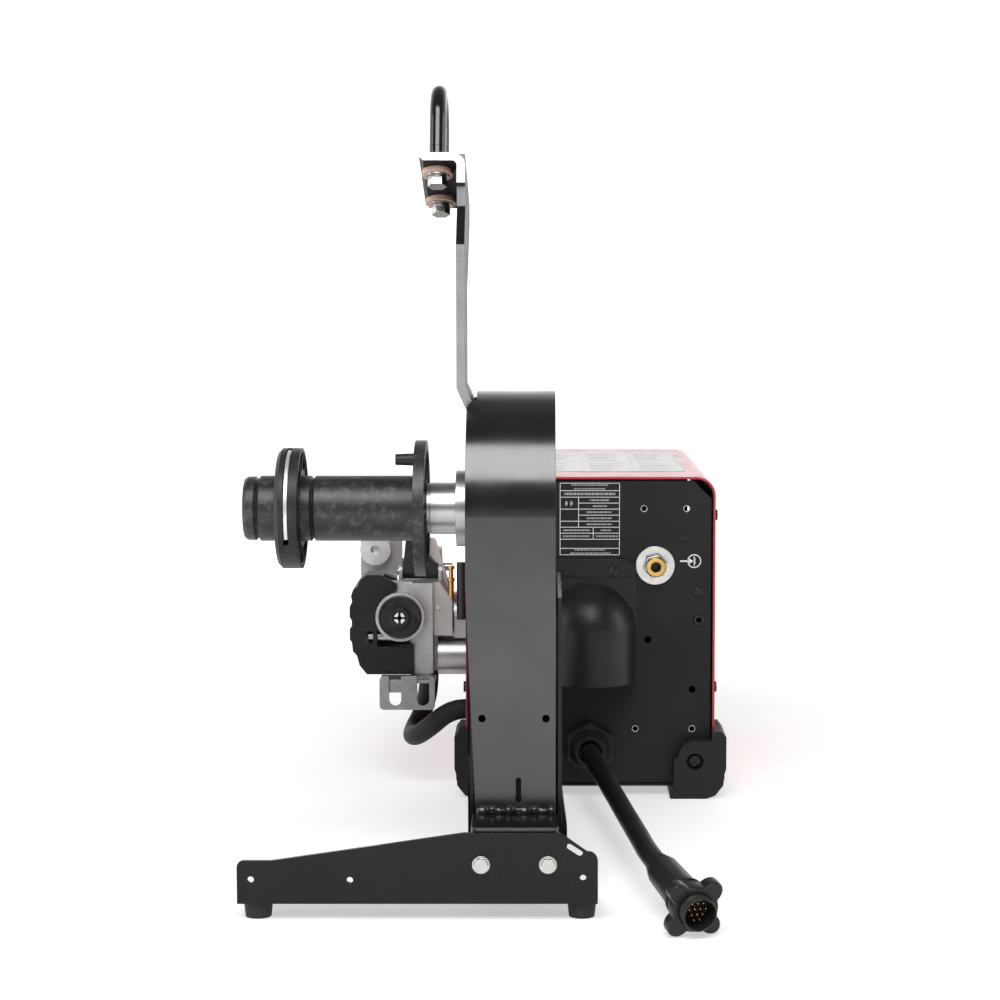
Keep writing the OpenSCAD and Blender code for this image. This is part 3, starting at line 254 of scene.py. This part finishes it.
LOOKS = {
    "stand_paint": dict(colour=(0.0065, 0.0065, 0.007), rough=0.25, tint=(0.010, 0.010, 0.011), grain=0.015,
        grain_scale=700, worn=(0.05, 0.05, 0.052), worn_amount=0.4, specular=0.25),
    "rubber": dict(colour=(0.028, 0.028, 0.029), rough=0.75, tint=(0.05, 0.05, 0.05), grain=0.08,
        grain_scale=900, specular=0.25),
    "strap_metal": dict(colour=(0.40, 0.41, 0.42), rough=0.38, metallic=0.9, tint=(0.24, 0.24, 0.25),
        tint_scale=30, grain=0.05, stretch=(1, 1, 12), grain_scale=400),
    "bail_black": dict(colour=(0.006, 0.006, 0.007), rough=0.16, tint=(0.012, 0.012, 0.013), grain=0.01,
        coat=0.3),
    "fibre_washer": dict(colour=(0.56, 0.36, 0.28), rough=0.7, tint=(0.66, 0.47, 0.38), tint_scale=90,
        grain=0.05),
    "zinc": dict(colour=(0.62, 0.62, 0.60), rough=0.27, metallic=1.0, tint=(0.42, 0.42, 0.40),
        tint_scale=80, grain=0.02),
    "machined_steel": dict(colour=(0.50, 0.50, 0.51), rough=0.34, metallic=1.0, tint=(0.40, 0.40, 0.41),
        tint_scale=40, grain=0.004, grain_scale=300),
    "black_plastic": dict(colour=(0.011, 0.011, 0.012), rough=0.42, tint=(0.02, 0.02, 0.021), tint_scale=40,
        grain=0.05, grain_scale=600, dust=(0.10, 0.10, 0.10), dust_amount=0.25, specular=0.3),
    "spring_steel": dict(colour=(0.35, 0.35, 0.36), rough=0.3, metallic=1.0, tint=(0.22, 0.21, 0.2)),
    "bright_steel": dict(colour=(0.74, 0.74, 0.75), rough=0.38, metallic=0.6, tint=(0.62, 0.62, 0.63)),
    "red_paint": dict(colour=(0.42, 0.008, 0.028), rough=0.3, tint=(0.36, 0.006, 0.022), grain=0.03,
        grain_scale=500, coat=0.25),
    "panel_paint": dict(colour=(0.013, 0.013, 0.0135), rough=0.46, tint=(0.019, 0.019, 0.0195), grain=0.05,
        grain_scale=800, specular=0.2),
    "boot_rubber": dict(colour=(0.015, 0.015, 0.0155), rough=0.58, tint=(0.024, 0.024, 0.024), grain=0.06,
        grain_scale=700, specular=0.2),
    "black_screw": dict(colour=(0.02, 0.02, 0.02), rough=0.35, metallic=0.6, tint=(0.05, 0.05, 0.05),
        tint_scale=120),
    "boot_moulding": dict(colour=(0.010, 0.010, 0.010), rough=0.38, tint=(0.018, 0.018, 0.018), grain=0.04,
        grain_scale=600, specular=0.28),
    "brass": dict(colour=(0.60, 0.38, 0.13), rough=0.25, metallic=1.0, tint=(0.45, 0.28, 0.10),
        tint_scale=90),
    "label": dict(colour=(0.012, 0.012, 0.013), rough=0.4, tint=(0.02, 0.02, 0.021), grain=0.01,
        specular=0.2),
    "circuit_board": dict(colour=(0.01, 0.10, 0.04), rough=0.35, tint=(0.02, 0.16, 0.07), tint_scale=200),
    "motor_paint": dict(colour=(0.02, 0.022, 0.024), rough=0.4, tint=(0.03, 0.03, 0.03)),
    "display_lens": dict(colour=(0.05, 0.003, 0.004), rough=0.08, tint=(0.08, 0.006, 0.006), coat=0.6),
    "red_button": dict(colour=(0.45, 0.01, 0.01), rough=0.25, tint=(0.38, 0.01, 0.01), coat=0.4),
    "cast_alloy": dict(colour=(0.52, 0.52, 0.51), rough=0.5, metallic=0.85, tint=(0.36, 0.36, 0.35),
        tint_scale=60, grain=0.22, grain_scale=900, lumps=0.1, lumps_scale=260),
    "machined_alloy": dict(colour=(0.46, 0.46, 0.455), rough=0.38, metallic=1.0, tint=(0.34, 0.34, 0.34),
        tint_scale=60, grain=0.004),
    "gear_steel": dict(colour=(0.42, 0.38, 0.30), rough=0.33, metallic=1.0, tint=(0.3, 0.28, 0.22)),
    "guard_plastic": dict(colour=(0.012, 0.012, 0.0125), rough=0.5, tint=(0.019, 0.019, 0.02),
        tint_scale=50, grain=0.12, grain_scale=1100, specular=0.22),
    "stamped_steel": dict(colour=(0.36, 0.36, 0.36), rough=0.33, metallic=1.0, tint=(0.22, 0.22, 0.22),
        tint_scale=70, grain=0.03),
    "pale_plastic": dict(colour=(0.62, 0.62, 0.59), rough=0.45, tint=(0.5, 0.5, 0.47), grain=0.03),
    "lead_rubber": dict(colour=(0.018, 0.018, 0.018), rough=0.6, tint=(0.03, 0.03, 0.03), grain=0.06,
        specular=0.25),
    "cable_jacket": dict(colour=(0.010, 0.010, 0.010), rough=0.42, tint=(0.018, 0.018, 0.018), grain=0.05,
        grain_scale=500, lumps=0.15, lumps_scale=60, specular=0.3),
    "plug_black": dict(colour=(0.012, 0.012, 0.012), rough=0.4, tint=(0.022, 0.022, 0.022), grain=0.05,
        worn=(0.08, 0.08, 0.08), specular=0.3),
    "gold_contact": dict(colour=(0.80, 0.55, 0.20), rough=0.22, metallic=1.0, tint=(0.7, 0.45, 0.15),
        tint_scale=200),
}
LOOK = {slot: finish_material(slot, **look) for slot, look in LOOKS.items()}
HUB_LOOK = finish_material("hub_dusty", colour=(0.011, 0.011, 0.012), rough=0.4,
                           dust=(0.13, 0.13, 0.125), dust_amount=0.7, dust_scale=130,
                           tint=(0.03, 0.03, 0.03), grain=0.05, grain_scale=500)


def strap_paint_with_highlight():
    """Black paint with a painted highlight: the faces turned to the back of the feeder are grey steel."""
    g = Graph("strap_paint_with_highlight")
    part = g.node("ShaderNodeSeparateXYZ")
    g.link(g.node("ShaderNodeTexCoord").outputs["Normal"], part.inputs[0])
    # painted highlight: faces that face the back of the feeder get grey steel instead of black paint
    highlight_faces = g.ramp(part.outputs["Y"], -0.84, -0.96)
    steel = g.mix(g.noise(30, 4, 0.6, (1, 1, 9)), (0.30, 0.30, 0.31), (0.44, 0.45, 0.46))
    g.link(g.mix(highlight_faces, (0.008, 0.008, 0.009), steel), g.shader.inputs["Base Color"])
    g.link(g.math("MULTIPLY", highlight_faces, 0.85), g.shader.inputs["Metallic"])
    g.link(g.ramp(highlight_faces, 0, 1, 0.1, 0.5), g.shader.inputs["Specular IOR Level"])
    g.link(g.ramp(g.noise(60, 4), 0.3, 0.7, 0.33, 0.45), g.shader.inputs["Roughness"])
    return g.mat


OWN_LOOK = {
    "spool_hub": HUB_LOOK,
    "lift_strap": strap_paint_with_highlight(),
    "mast_band": finish_material("band_paint", colour=(0.006, 0.006, 0.0065), rough=0.2,
                                 tint=(0.010, 0.010, 0.011), grain=0.01, grain_scale=700,
                                 specular=0.9, rough_spread=0.04),
    "clamp_knob": finish_material("clamp_disc", colour=(0.72, 0.72, 0.71), rough=0.4, metallic=0.7,
                                  tint=(0.6, 0.6, 0.6), tint_scale=90),
}
for sub in frame["record"]["subparts"]:
    obj = frame["nodes"][sub["node"]]
    obj.data.materials.clear()
    obj.data.materials.append(OWN_LOOK.get(sub["node"], LOOK[sub["material_slot"]]))


# ---- detail pieces -------------------------------------------------------------------------
def place(obj, slot, body="root", replaces=(), look=None):
    """Gives a piece its body, its finish and the CAD nodes that it stands for."""
    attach(obj, body)
    if replaces:
        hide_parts(*replaces)
    if not obj.data.materials:
        for m in look or [LOOK[slot]]:
            obj.data.materials.append(m)
    return obj


def prism(bm, outline, origin, u, v, w, depth, material=0):
    """An outline in the directions u and v from origin, pushed out along w."""
    o, u, v, w = (Vector(q) for q in (origin, u, v, w))
    low = [bm.verts.new(at(*(o + x * u + y * v))) for x, y in outline]
    top = [bm.verts.new(at(*(o + x * u + y * v + depth * w))) for x, y in outline]
    n = len(outline)
    faces = [bm.faces.new(low), bm.faces.new(top)]
    faces += [bm.faces.new((low[i], low[(i + 1) % n], top[(i + 1) % n], top[i])) for i in range(n)]
    for f in faces:
        f.material_index = material


def lathe(bm, profile, origin, axis, side, turns=48, material=0, wobble=None):
    """A closed (radius, height) profile turned about axis."""
    o, w, u = Vector(origin), Vector(axis).normalized(), Vector(side).normalized()
    v = w.cross(u)
    rings = []
    for k in range(turns):
        a = 2 * math.pi * k / turns
        d = math.cos(a) * u + math.sin(a) * v
        rings.append([bm.verts.new(at(*(o + (r + (wobble(a, h) if wobble else 0)) * d + h * w)))
                      for r, h in profile])
    n = len(profile)
    for k in range(turns):
        a, b = rings[k], rings[(k + 1) % turns]
        for i in range(n):
            f = bm.faces.new((a[i], a[(i + 1) % n], b[(i + 1) % n], b[i]))
            f.material_index = material


def arc(cx, cy, r, a0, a1, n=10):
    return [(cx + r * math.cos(math.radians(a0 + (a1 - a0) * i / n)),
             cy + r * math.sin(math.radians(a0 + (a1 - a0) * i / n))) for i in range(n + 1)]


def split_head(bm, centre, axis, side, r, height, ways, gap):
    """A screw head: a round skirt and 2 or 4 sectors that leave a slot or a cross between them."""
    o, w, u = Vector(centre), Vector(axis).normalized(), Vector(side).normalized()
    v = w.cross(u)
    lathe(bm, [(0.01, 0), (r, 0), (r, height * 0.5), (0.01, height * 0.5)], o, w, u, 32)
    half = math.degrees(math.asin(gap / 2 / r))
    for k in range(ways):
        a0, a1 = 360 / ways * k + half, 360 / ways * (k + 1) - half
        rim = arc(0, 0, r * 0.97, a0, a1, 12)
        if ways > 2:
            mid = math.radians((a0 + a1) / 2)
            inner = gap / 2 / math.sin(math.pi / ways)
            rim.append((inner * math.cos(mid), inner * math.sin(mid)))
        prism(bm, rim, o + height * 0.45 * w, u, v, w, height * 0.55)


def turned(degrees):
    """The direction at an angle from X in an upright plane across the view."""
    return (math.cos(math.radians(degrees)), 0, math.sin(math.radians(degrees)))


X, Y, Z = (1, 0, 0), (0, 1, 0), (0, 0, 1)
BACK = (0, -1, 0)
PANEL_Y = 267  # outer face of the back panel
LID_Z = 285  # top face of the case
WIRE_X, WIRE_Z = -104.5, 157  # the line of the wire through the drive
rng = random.Random(7)

# Plug: wrinkled shrink sleeve, threaded shell, lobed ring and pins on the plug's own axes
PLUG_START = Vector(CABLE[-1])
yaw, pitch = math.radians(17), math.radians(9.5)
PLUG_AXIS = Vector((math.cos(pitch) * math.sin(yaw), -math.cos(pitch) * math.cos(yaw), -math.sin(pitch)))
PLUG_SIDE = Vector((math.cos(yaw), math.sin(yaw), 0))
PLUG_UP = PLUG_AXIS.cross(PLUG_SIDE)

# angle, height, size and width of each wrinkle
lumps = [(rng.uniform(0, 6.28), rng.uniform(3, 52), rng.uniform(0.8, 2.2), rng.uniform(2.5, 6))
         for _ in range(44)]


def sleeve_lump(a, h):
    """How far the sleeve's surface stands out at an angle and a height."""
    total = 0.25 * math.sin(0.9 * h + 2 * math.sin(a))
    for la, lh, size, width in lumps:
        da = math.atan2(math.sin(a - la), math.cos(a - la)) * 12
        total += size * math.exp(-(da * da + (h - lh) ** 2) / (width * width)) - size * 0.3
    if not 0 <= h < 58:
        return 0
    return max(-1.5, min(1.3, total)) * min(1, (h + 2) / 6)


def sleeve_radius(h):
    return 9.2 + 4.4 * min(1, h / 14) ** 0.7 + 1.4 * max(0, (h - 14) / 46)


bm = bmesh.new()
steps = [(8.4, -2)] + [(sleeve_radius(h), h) for h in range(0, 61, 2)]
lathe(bm, steps + [(15.3, 60.6), (13, 60.6), (7.6, 4), (7.6, -2)], PLUG_START, PLUG_AXIS, PLUG_SIDE, 72,
      wobble=sleeve_lump)
lathe(bm, [(0.01, 59), (14.2, 59), (14.2, 67.4), (13.4, 68.4), (0.01, 68.4)],
      PLUG_START, PLUG_AXIS, PLUG_SIDE, 72)
thread = [(12.55 - (0.5 if k % 2 else 0), 81.6 + 0.75 * k) for k in range(9)]
mouth = [(12.55, 88), (12.55, 89.4), (12.1, 90), (11.6, 90), (11.2, 89.5)]
shell = [(11.2, 67), (12.55, 67), (12.55, 81.2)] + thread + mouth
lathe(bm, shell, PLUG_START, PLUG_AXIS, PLUG_SIDE, 72)
lathe(bm, [(0.01, 67), (11.3, 67), (11.3, 74), (0.01, 74)], PLUG_START, PLUG_AXIS, PLUG_SIDE, 48)
prism(bm, [(-1.3, 0), (1.3, 0), (1.3, 1.5), (-1.3, 1.5)], PLUG_START + 74 * PLUG_AXIS + 9.9 * PLUG_UP,
      PLUG_SIDE, PLUG_UP, PLUG_AXIS, 14)
plug = place(mesh_piece("plug_body", bm, 40, 0.15), "plug_black", replaces=["plug_shell"])


def lobe_radius(a):
    """Outer radius of the ring: four rounded lobes on a circle of 17 mm."""
    d = abs(math.degrees(a) % 90 - 45)
    return 17 + (8 * math.cos(math.radians(d / 24 * 90)) ** 0.75 if d < 24 else 0)


RING_BORE = 12.7
RING_STEPS = 144

bm = bmesh.new()
turns = [2 * math.pi * k / RING_STEPS for k in range(RING_STEPS)]
# how much is cut off the lobes, or None for the bore, and the height
profile = [(None, 69.1), (1.1, 69.1), (0, 70.2), (0, 79.8), (1.1, 80.9), (None, 80.9)]
rings = []
for cut, h in profile:
    radii = [RING_BORE if cut is None else lobe_radius(a) - cut for a in turns]
    rings.append([bm.verts.new(at(*(PLUG_START + h * PLUG_AXIS + r * (math.cos(a) * PLUG_SIDE
                                                                    + math.sin(a) * PLUG_UP))))
                  for r, a in zip(radii, turns)])
for p, q in zip(rings, rings[1:] + rings[:1]):
    for k in range(RING_STEPS):
        bm.faces.new((p[k], p[(k + 1) % RING_STEPS], q[(k + 1) % RING_STEPS], q[k]))
ring = place(mesh_piece("plug_ring_lobed", bm, 50, 0.5), "plug_black", "plug_ring", ["coupling_ring"])

PIN_PITCH = 4.1
bm = bmesh.new()
for row, count in enumerate((2, 3, 4, 3)):
    for k in range(count):
        spot = PLUG_START + (k - (count - 1) / 2) * PIN_PITCH * PLUG_SIDE + (1.5 - row) * -PIN_PITCH * PLUG_UP
        lathe(bm, [(0.01, 73.5), (0.8, 73.5), (0.8, 83.1), (0.45, 83.9), (0.01, 84)],
              spot, PLUG_AXIS, PLUG_SIDE, 14)
pins = place(mesh_piece("plug_pins", bm, 40), "gold_contact", replaces=["plug_contacts"])

place(cable, "cable_jacket", replaces=["control_cable"])


# Printed items on the panel and the lid: film and white ink
def ink(name, colour, rough=0.5):
    g = Graph(name)
    g.link(g.mix(g.noise(500, 3), colour, [0.8 * c for c in colour]), g.shader.inputs["Base Color"])
    g.link(g.ramp(g.noise(90), 0.3, 0.7, rough - 0.05, rough + 0.05), g.shader.inputs["Roughness"])
    return g.mat


WHITE_INK = ink("white_ink", (0.80, 0.80, 0.80))
GREY_INK = ink("grey_ink", (0.34, 0.34, 0.34))


INK_Y = 266.45  # just inside the face of the plate, which is 0.5 thick
INK_DEPTH = 0.08


def bar(bm, x0, x1, z0, z1, material):
    prism(bm, [(x0, z0), (x1, z0), (x1, z1), (x0, z1)], (0, INK_Y, 0), X, Z, BACK, INK_DEPTH, material)


bm = bmesh.new()
px, pz, pw, ph = 37.9, 279.8, 53.6, 64.4  # left, top, width and height of the plate
prism(bm, [(px, pz - ph), (px + pw, pz - ph), (px + pw, pz), (px, pz)], (0, PANEL_Y, 0), X, Z, BACK, 0.5)
# ruled lines as shares of the height, and the blocks between them as shares of the width
rows = [0.008, 0.11, 0.2, 0.281, 0.364, 0.447, 0.53, 0.613, 0.695, 0.778, 0.904, 0.992]
blocks = [[(0.2, 0.8), (0.24, 0.76)], [(0.08, 0.92)], [(0.5, 0.82)], [(0.55, 0.78)], [(0.45, 0.86)],
          [(0.45, 0.86)], [(0.45, 0.86)], [(0.06, 0.5), (0.68, 0.85)], [(0.06, 0.5), (0.6, 0.96)], [],
          [(0.25, 0.75), (0.18, 0.84)]]
for f in rows:
    left = 0.315 if f in (0.281, 0.447) else 0.01
    bar(bm, px + left * pw, px + 0.99 * pw, pz - f * ph - 0.25, pz - f * ph + 0.25, 1)
for f, a, b in ((0.012, 0.008, 0.992), (0.988, 0.008, 0.992), (0.315, 0.2, 0.613), (0.556, 0.613, 0.778)):
    bar(bm, px + f * pw - 0.25, px + f * pw + 0.25, pz - b * ph, pz - a * ph, 1)
for i, (a, b, spans) in enumerate(zip(rows, rows[1:], blocks)):
    two_lines = i in (0, 10)
    for j, (p, q) in enumerate(spans):
        zc = pz - (a + (b - a) * ((j + 0.5) / 2 if two_lines else 0.5)) * ph
        h = 0.55 if two_lines else (1.0 if i == 1 else 0.7)
        x = px + p * pw
        while x < px + q * pw:
            w = rng.uniform(0.8, 3.2)
            bar(bm, x, min(x + w, px + q * pw), zc - h, zc + h, 2)
            x += w + 0.55
for cx, r in ((px + 5.2, 2.2), (px + 9.6, 2.2)):
    prism(bm, arc(cx, pz - 0.285 * ph, r, -90, 90), (0, INK_Y, 0), X, Z, BACK, INK_DEPTH, 2)
place(mesh_piece("rating_plate_ruled", bm, 30), "label", replaces=["rating_plate"],
      look=[LOOK["label"], WHITE_INK, GREY_INK])

SYMBOL_Z = 210.2
bm = bmesh.new()
lathe(bm, [(5.2, 0), (6.1, 0), (6.1, 0.1), (5.2, 0.1)], (157, PANEL_Y, SYMBOL_Z), BACK, X, 48)
prism(bm, [(144.5, -0.7), (152.5, -0.7), (152.5, -2.5), (156.2, 0), (152.5, 2.5), (152.5, 0.7), (144.5, 0.7)],
      (0, PANEL_Y, SYMBOL_Z), X, Z, BACK, 0.1)
prism(bm, [(156.6, -4.3), (157.3, -4.3), (157.3, 4.3), (156.6, 4.3)], (0, PANEL_Y, SYMBOL_Z), X, Z, BACK, 0.1)
lens = arc(161.4, SYMBOL_Z, 4.2, 145, 215, 8)
prism(bm, lens + [(x + 0.6, z) for x, z in reversed(lens)], (0, PANEL_Y, 0), X, Z, BACK, 0.1)
place(mesh_piece("flow_symbol", bm, 30), "label", look=[WHITE_INK])

bm = bmesh.new()
prism(bm, [(-26, 323), (152, 323), (152, 557), (-26, 557)], (0, 0, LID_Z), X, Y, Z, 0.15)
lines = [(-26, 152, 322.2, 324.2), (-26, 152, 556, 558), (-26, 152, 440, 442.2)]
lines += [(x - 0.9, x + 0.9, 323, 557) for x in (-25.2, 13.5, 60, 106.5, 151.2)]
for x0, x1, y0, y1 in lines:
    prism(bm, [(x0, y0), (x1, y0), (x1, y1), (x0, y1)], (0, 0, LID_Z + 0.12), X, Y, Z, 0.1, 1)
for x0 in (20, 66.5, 113):
    for y0 in (338, 356, 374, 392, 410, 456, 474, 492, 510, 528):
        near, far = x0 + rng.uniform(18, 32), x0 + rng.uniform(18, 32)
        prism(bm, [(x0, y0), (near, y0), (far, y0 + 3), (x0, y0 + 3)],
              (0, 0, LID_Z + 0.12), X, Y, Z, 0.08, 2)
DECAL = ink("pale_decal", (0.70, 0.70, 0.69), 0.35)
place(mesh_piece("lid_decal", bm, 30), "label", look=[DECAL, WHITE_INK, GREY_INK])

# Screws of the case: slotted, crossed and socket heads
bm = bmesh.new()
for x, turn in ((44, 20), (86, 65)):
    split_head(bm, (x, 263.5, 202.4), BACK, turned(turn), 4.6, 2.3, 2, 1.2)
lathe(bm, [(2.3, 0), (4.9, 0), (4.9, 1.6), (4.1, 2.4), (2.9, 2.4), (2.3, 1.6)],
      (161.2, PANEL_Y, 157.7), BACK, X, 40)
for x, z, turn in ((160, 183.3, 60), (146.8, 232, 30)):
    split_head(bm, (x, PANEL_Y, z), BACK, turned(turn), 4.3, 2.0, 4, 1.1)
for side, out in ((175.6, 1), (-45, -1)):
    for y, z in ((279, 250), (279, 96), (596, 250), (596, 96)):
        split_head(bm, (side, y, z), (out, 0, 0), (0, 0.8, 0.6), 4.9, 2.5, 4, 1.1)
for x in (-27.2, 157.8):
    for y, out in ((258.2, -1), (617.8, 1)):
        split_head(bm, (x, y, 33.3), (0, out, 0), (0.8, 0, 0.6), 5.1, 1.8, 4, 1.4)
place(mesh_piece("case_screw_heads", bm, 30, 0.2), "black_screw", replaces=["case_screws"])

# Weld run at the foot of the mast
bm = bmesh.new()
run = [Vector((x, -89.4 + 0.4 * math.sin(x), 69.0 + 0.5 * math.sin(0.4 * x + 1))) for x in
       [-25 + 0.75 * k for k in range(76)]]
sweep(bm, run, lambda t, a: (3.1 + 0.45 * math.sin(34 * t + 0.6 * math.sin(3 * a))
                             + 0.35 * math.sin(13 * t)), 24)
weld_look = finish_material("weld_paint", colour=(0.010, 0.010, 0.011), rough=0.14, tint=(0.03, 0.03, 0.03),
                            tint_scale=200, lumps=0.25, lumps_scale=300, rough_spread=0.05)
place(mesh_piece("mast_weld_run", bm, 80), "stand_paint", look=[weld_look])

# Fine joint lines round the legs of the bail, and spring washers under its bolts
tilt = math.radians(-19)
FLANGE_Y = Vector((0, math.cos(tilt), math.sin(tilt)))
FLANGE_Z = Vector((0, -math.sin(tilt), math.cos(tilt)))
BAIL_X = -56.4
BAIL_LEGS = (22, 82)  # along the flange


def on_flange(x, y, z):
    return Vector((x, -8, 552)) + y * FLANGE_Y + z * FLANGE_Z


bm = bmesh.new()
for y in BAIL_LEGS:
    lathe(bm, [(6.2, 12.5), (6.42, 12.5), (6.42, 13.0), (6.2, 13.0)],
          on_flange(BAIL_X, y, 0), FLANGE_Z, X, 48)
place(mesh_piece("bail_joint_lines", bm, 30), "bail_black")
bm = bmesh.new()
for y in BAIL_LEGS:
    coil = [on_flange(BAIL_X + 6.4 * math.cos(t), y + 6.4 * math.sin(t), -11.6 - 1.2 * t / 6.28)
            for t in [0.3 + 0.19 * k for k in range(31)]]
    sweep(bm, coil, 1.1, 10, FLANGE_Z)
place(mesh_piece("spring_washers", bm, 60), "spring_steel")

# Wire inlet: crossed screws, inner ring and the bright crossed insert
bm = bmesh.new()
for a in (107, -15, -132):
    spot = Vector((WIRE_X, 286, WIRE_Z)) + 14.5 * Vector(turned(a))
    split_head(bm, spot, BACK, X, 2.6, 1.2, 4, 0.7)
lathe(bm, [(17.2, 0), (19.0, 0), (19.0, 0.5), (18.1, 1.1), (17.2, 0.5)], (WIRE_X, 286, WIRE_Z), BACK, X, 64)
lathe(bm, [(5.4, 0), (9.4, 0), (9.4, 1.4), (8.6, 2.2), (6.2, 2.2), (5.4, 1.4)],
      (WIRE_X, 284.2, WIRE_Z), BACK, X, 56)
place(mesh_piece("inlet_rings", bm, 30, 0.15), "black_plastic")
bm = bmesh.new()
for k in range(4):
    sector = arc(0, 0, 5.3, 90 * k + 11, 90 * k + 79, 8) + arc(0, 0, 2.0, 90 * k + 70, 90 * k + 20, 4)
    prism(bm, sector, (WIRE_X, 284.4, WIRE_Z), X, Z, BACK, 2.0)
place(mesh_piece("inlet_insert", bm, 30, 0.35), "zinc")

# Smooth lead to the drive, eyelets in the vent holes, and the gas fitting
LEAD = [
    (-44, 300, 72), (-55, 299, 71), (-66, 299, 66), (-78, 301, 56), (-88, 307, 48), (-94, 318, 44),
    (-96, 332, 43), (-95, 346, 46), (-91, 358, 53), (-87, 366, 63), (-84, 370, 76), (-83, 371, 90),
    (-83, 371, 104),
]
bm = bmesh.new()
sweep(bm, spline(LEAD, 5), 8.95, 32, (1, 1, 0))
place(mesh_piece("weld_lead_smooth", bm, 60), "lead_rubber", replaces=["weld_lead"])
bm = bmesh.new()
for x, z in ((112.5, 256.7), (150.2, 256.7), (105.4, 60.1), (155.8, 60.1)):
    lathe(bm, [(2.4, 0), (3.05, 0), (3.05, 3.6), (2.4, 3.6)], (x, 270.8, z), BACK, X, 32)
place(mesh_piece("vent_eyelets", bm, 40), "zinc")
GAS_FITTING = (122.5, 265, 206.5)
bm = bmesh.new()
lathe(bm, [(6.6, 0), (10.4, 0), (10.9, 0.6), (10.9, 7.4), (10.4, 8), (6.6, 8)],
      GAS_FITTING, BACK, turned(15), 6)
ridges = [(8.9 - (0.5 if k % 2 else 0), 7.6 + 0.7 * k) for k in range(8)]
lathe(bm, [(4.6, 2)] + ridges + [(8.2, 13), (4.6, 13)], GAS_FITTING, BACK, X, 48, 1)
# painted shade: a black disc at the bottom of the bore stands in for the dark inside of the fitting
lathe(bm, [(0.01, 0.5), (6.7, 0.5), (6.7, 2), (0.01, 2)], GAS_FITTING, BACK, X, 32, 2)
lathe(bm, [(0.01, -22), (8.9, -22), (8.9, 0.5), (0.01, 0.5)], GAS_FITTING, BACK, X, 32, 1)
place(mesh_piece("gas_fitting", bm, 30), "brass", replaces=["gas_inlet"],
      look=[LOOK["zinc"], LOOK["brass"], LOOK["black_screw"]])

# Rivet on the casting, cap on the guard's hinge pin, and the gas purge valve beside the latch
bm = bmesh.new()
lathe(bm, [(0.01, 0), (2.1, 0), (1.7, 0.8), (0.01, 1.1)], (-71.5, 306, 162.7), BACK, X, 28)
place(mesh_piece("casting_rivet", bm, 40), "pale_plastic")
bm = bmesh.new()
lathe(bm, [(0.01, 0), (2.7, 0), (2.4, 0.6), (0.01, 0.9)], (-113, 296, 184), BACK, X, 28)
place(mesh_piece("hinge_pin_cap", bm, 40), "guard_plastic")
bm = bmesh.new()
lathe(bm, [(0.01, -9), (2.6, -9), (2.6, 9), (3.4, 9), (3.4, 12), (2.2, 12), (2.2, 20), (3.2, 20), (3.2, 23),
           (0.01, 23)], (-59.6, 309, 178), Z, X, 32)
place(mesh_piece("purge_valve", bm, 30, 0.15), "brass")
bm = bmesh.new()
lathe(bm, [(0.01, -18), (4.0, -18), (4.0, 33), (3.4, 34), (0.01, 34)], (-50.6, 311, 170), Z, X, 40)
place(mesh_piece("purge_coil", bm, 30), "motor_paint")

# ---- floor, light --------------------------------------------------------------------------
bm = bmesh.new()
bmesh.ops.create_grid(bm, x_segments=24, y_segments=24, size=9)
floor = mesh_piece("floor", bm)
g = Graph("floor")
g.link(g.mix(g.noise(2, 2), (0.62, 0.62, 0.62), (0.66, 0.66, 0.66)), g.shader.inputs["Base Color"])
g.shader.inputs["Roughness"].default_value = 0.7
g.shader.inputs["Emission Color"].default_value = (1, 1, 1, 1)
reach = g.node("ShaderNodeVectorMath", operation="LENGTH")
g.link(g.coords, reach.inputs[0])
g.link(g.ramp(reach.outputs["Value"], 0.55, 1.5, 0.50, 1.1), g.shader.inputs["Emission Strength"])
floor.data.materials.append(g.mat)

# Bright behind and low, dim overhead and in front; plain white where it is seen directly
world = bpy.data.worlds.new("world")
world.use_nodes = True
bpy.context.scene.world = world
tree = world.node_tree
sky = tree.nodes["Background"]
coords = tree.nodes.new("ShaderNodeTexCoord")
split = tree.nodes.new("ShaderNodeSeparateXYZ")
tree.links.new(coords.outputs["Generated"], split.inputs[0])


def world_range(socket, low, high, a, b):
    r = tree.nodes.new("ShaderNodeMapRange")
    for name, v in zip(("From Min", "From Max", "To Min", "To Max"), (low, high, a, b)):
        r.inputs[name].default_value = v
    tree.links.new(socket, r.inputs[0])
    return r.outputs[0]


def world_math(op, a, b):
    m = tree.nodes.new("ShaderNodeMath")
    m.operation = op
    for socket, v in zip(m.inputs, (a, b)):
        if isinstance(v, bpy.types.NodeSocket):
            tree.links.new(v, socket)
        else:
            socket.default_value = v
    return m.outputs[0]


behind = world_range(split.outputs["Y"], -0.3, 0.5, 0.06, 1.5)
low_sky = world_range(split.outputs["Z"], 0.25, 0.75, 1.0, 0.15)
light = world_math("MULTIPLY", behind, low_sky)
seen = tree.nodes.new("ShaderNodeLightPath").outputs["Is Camera Ray"]
tree.links.new(world_math("MAXIMUM", light, seen), sky.inputs[1])
sky.inputs[0].default_value = (1, 1, 1, 1)


def area_light(name, spot, target, size, power):
    data = bpy.data.lights.new(name, "AREA")
    data.shape = "RECTANGLE"
    data.size, data.size_y = size
    data.energy = power
    lamp = link_object(name, data)
    lamp.location = spot
    lamp.rotation_euler = (Vector(target) - Vector(spot)).to_track_quat("-Z", "Y").to_euler()


KEY_POWER, SIDE_POWER = 58, 14
area_light("key", (-0.15, -1.75, 2.0), (0, -0.1, 0.28), (1.7, 1.5), KEY_POWER)
area_light("left", (-2.3, -0.5, 0.9), (0, 0, 0.25), (0.9, 1.5), SIDE_POWER)
area_light("right", (2.3, -0.4, 0.9), (0, 0, 0.25), (0.9, 1.5), SIDE_POWER)
bpy.context.scene.view_settings.view_transform = "Standard"
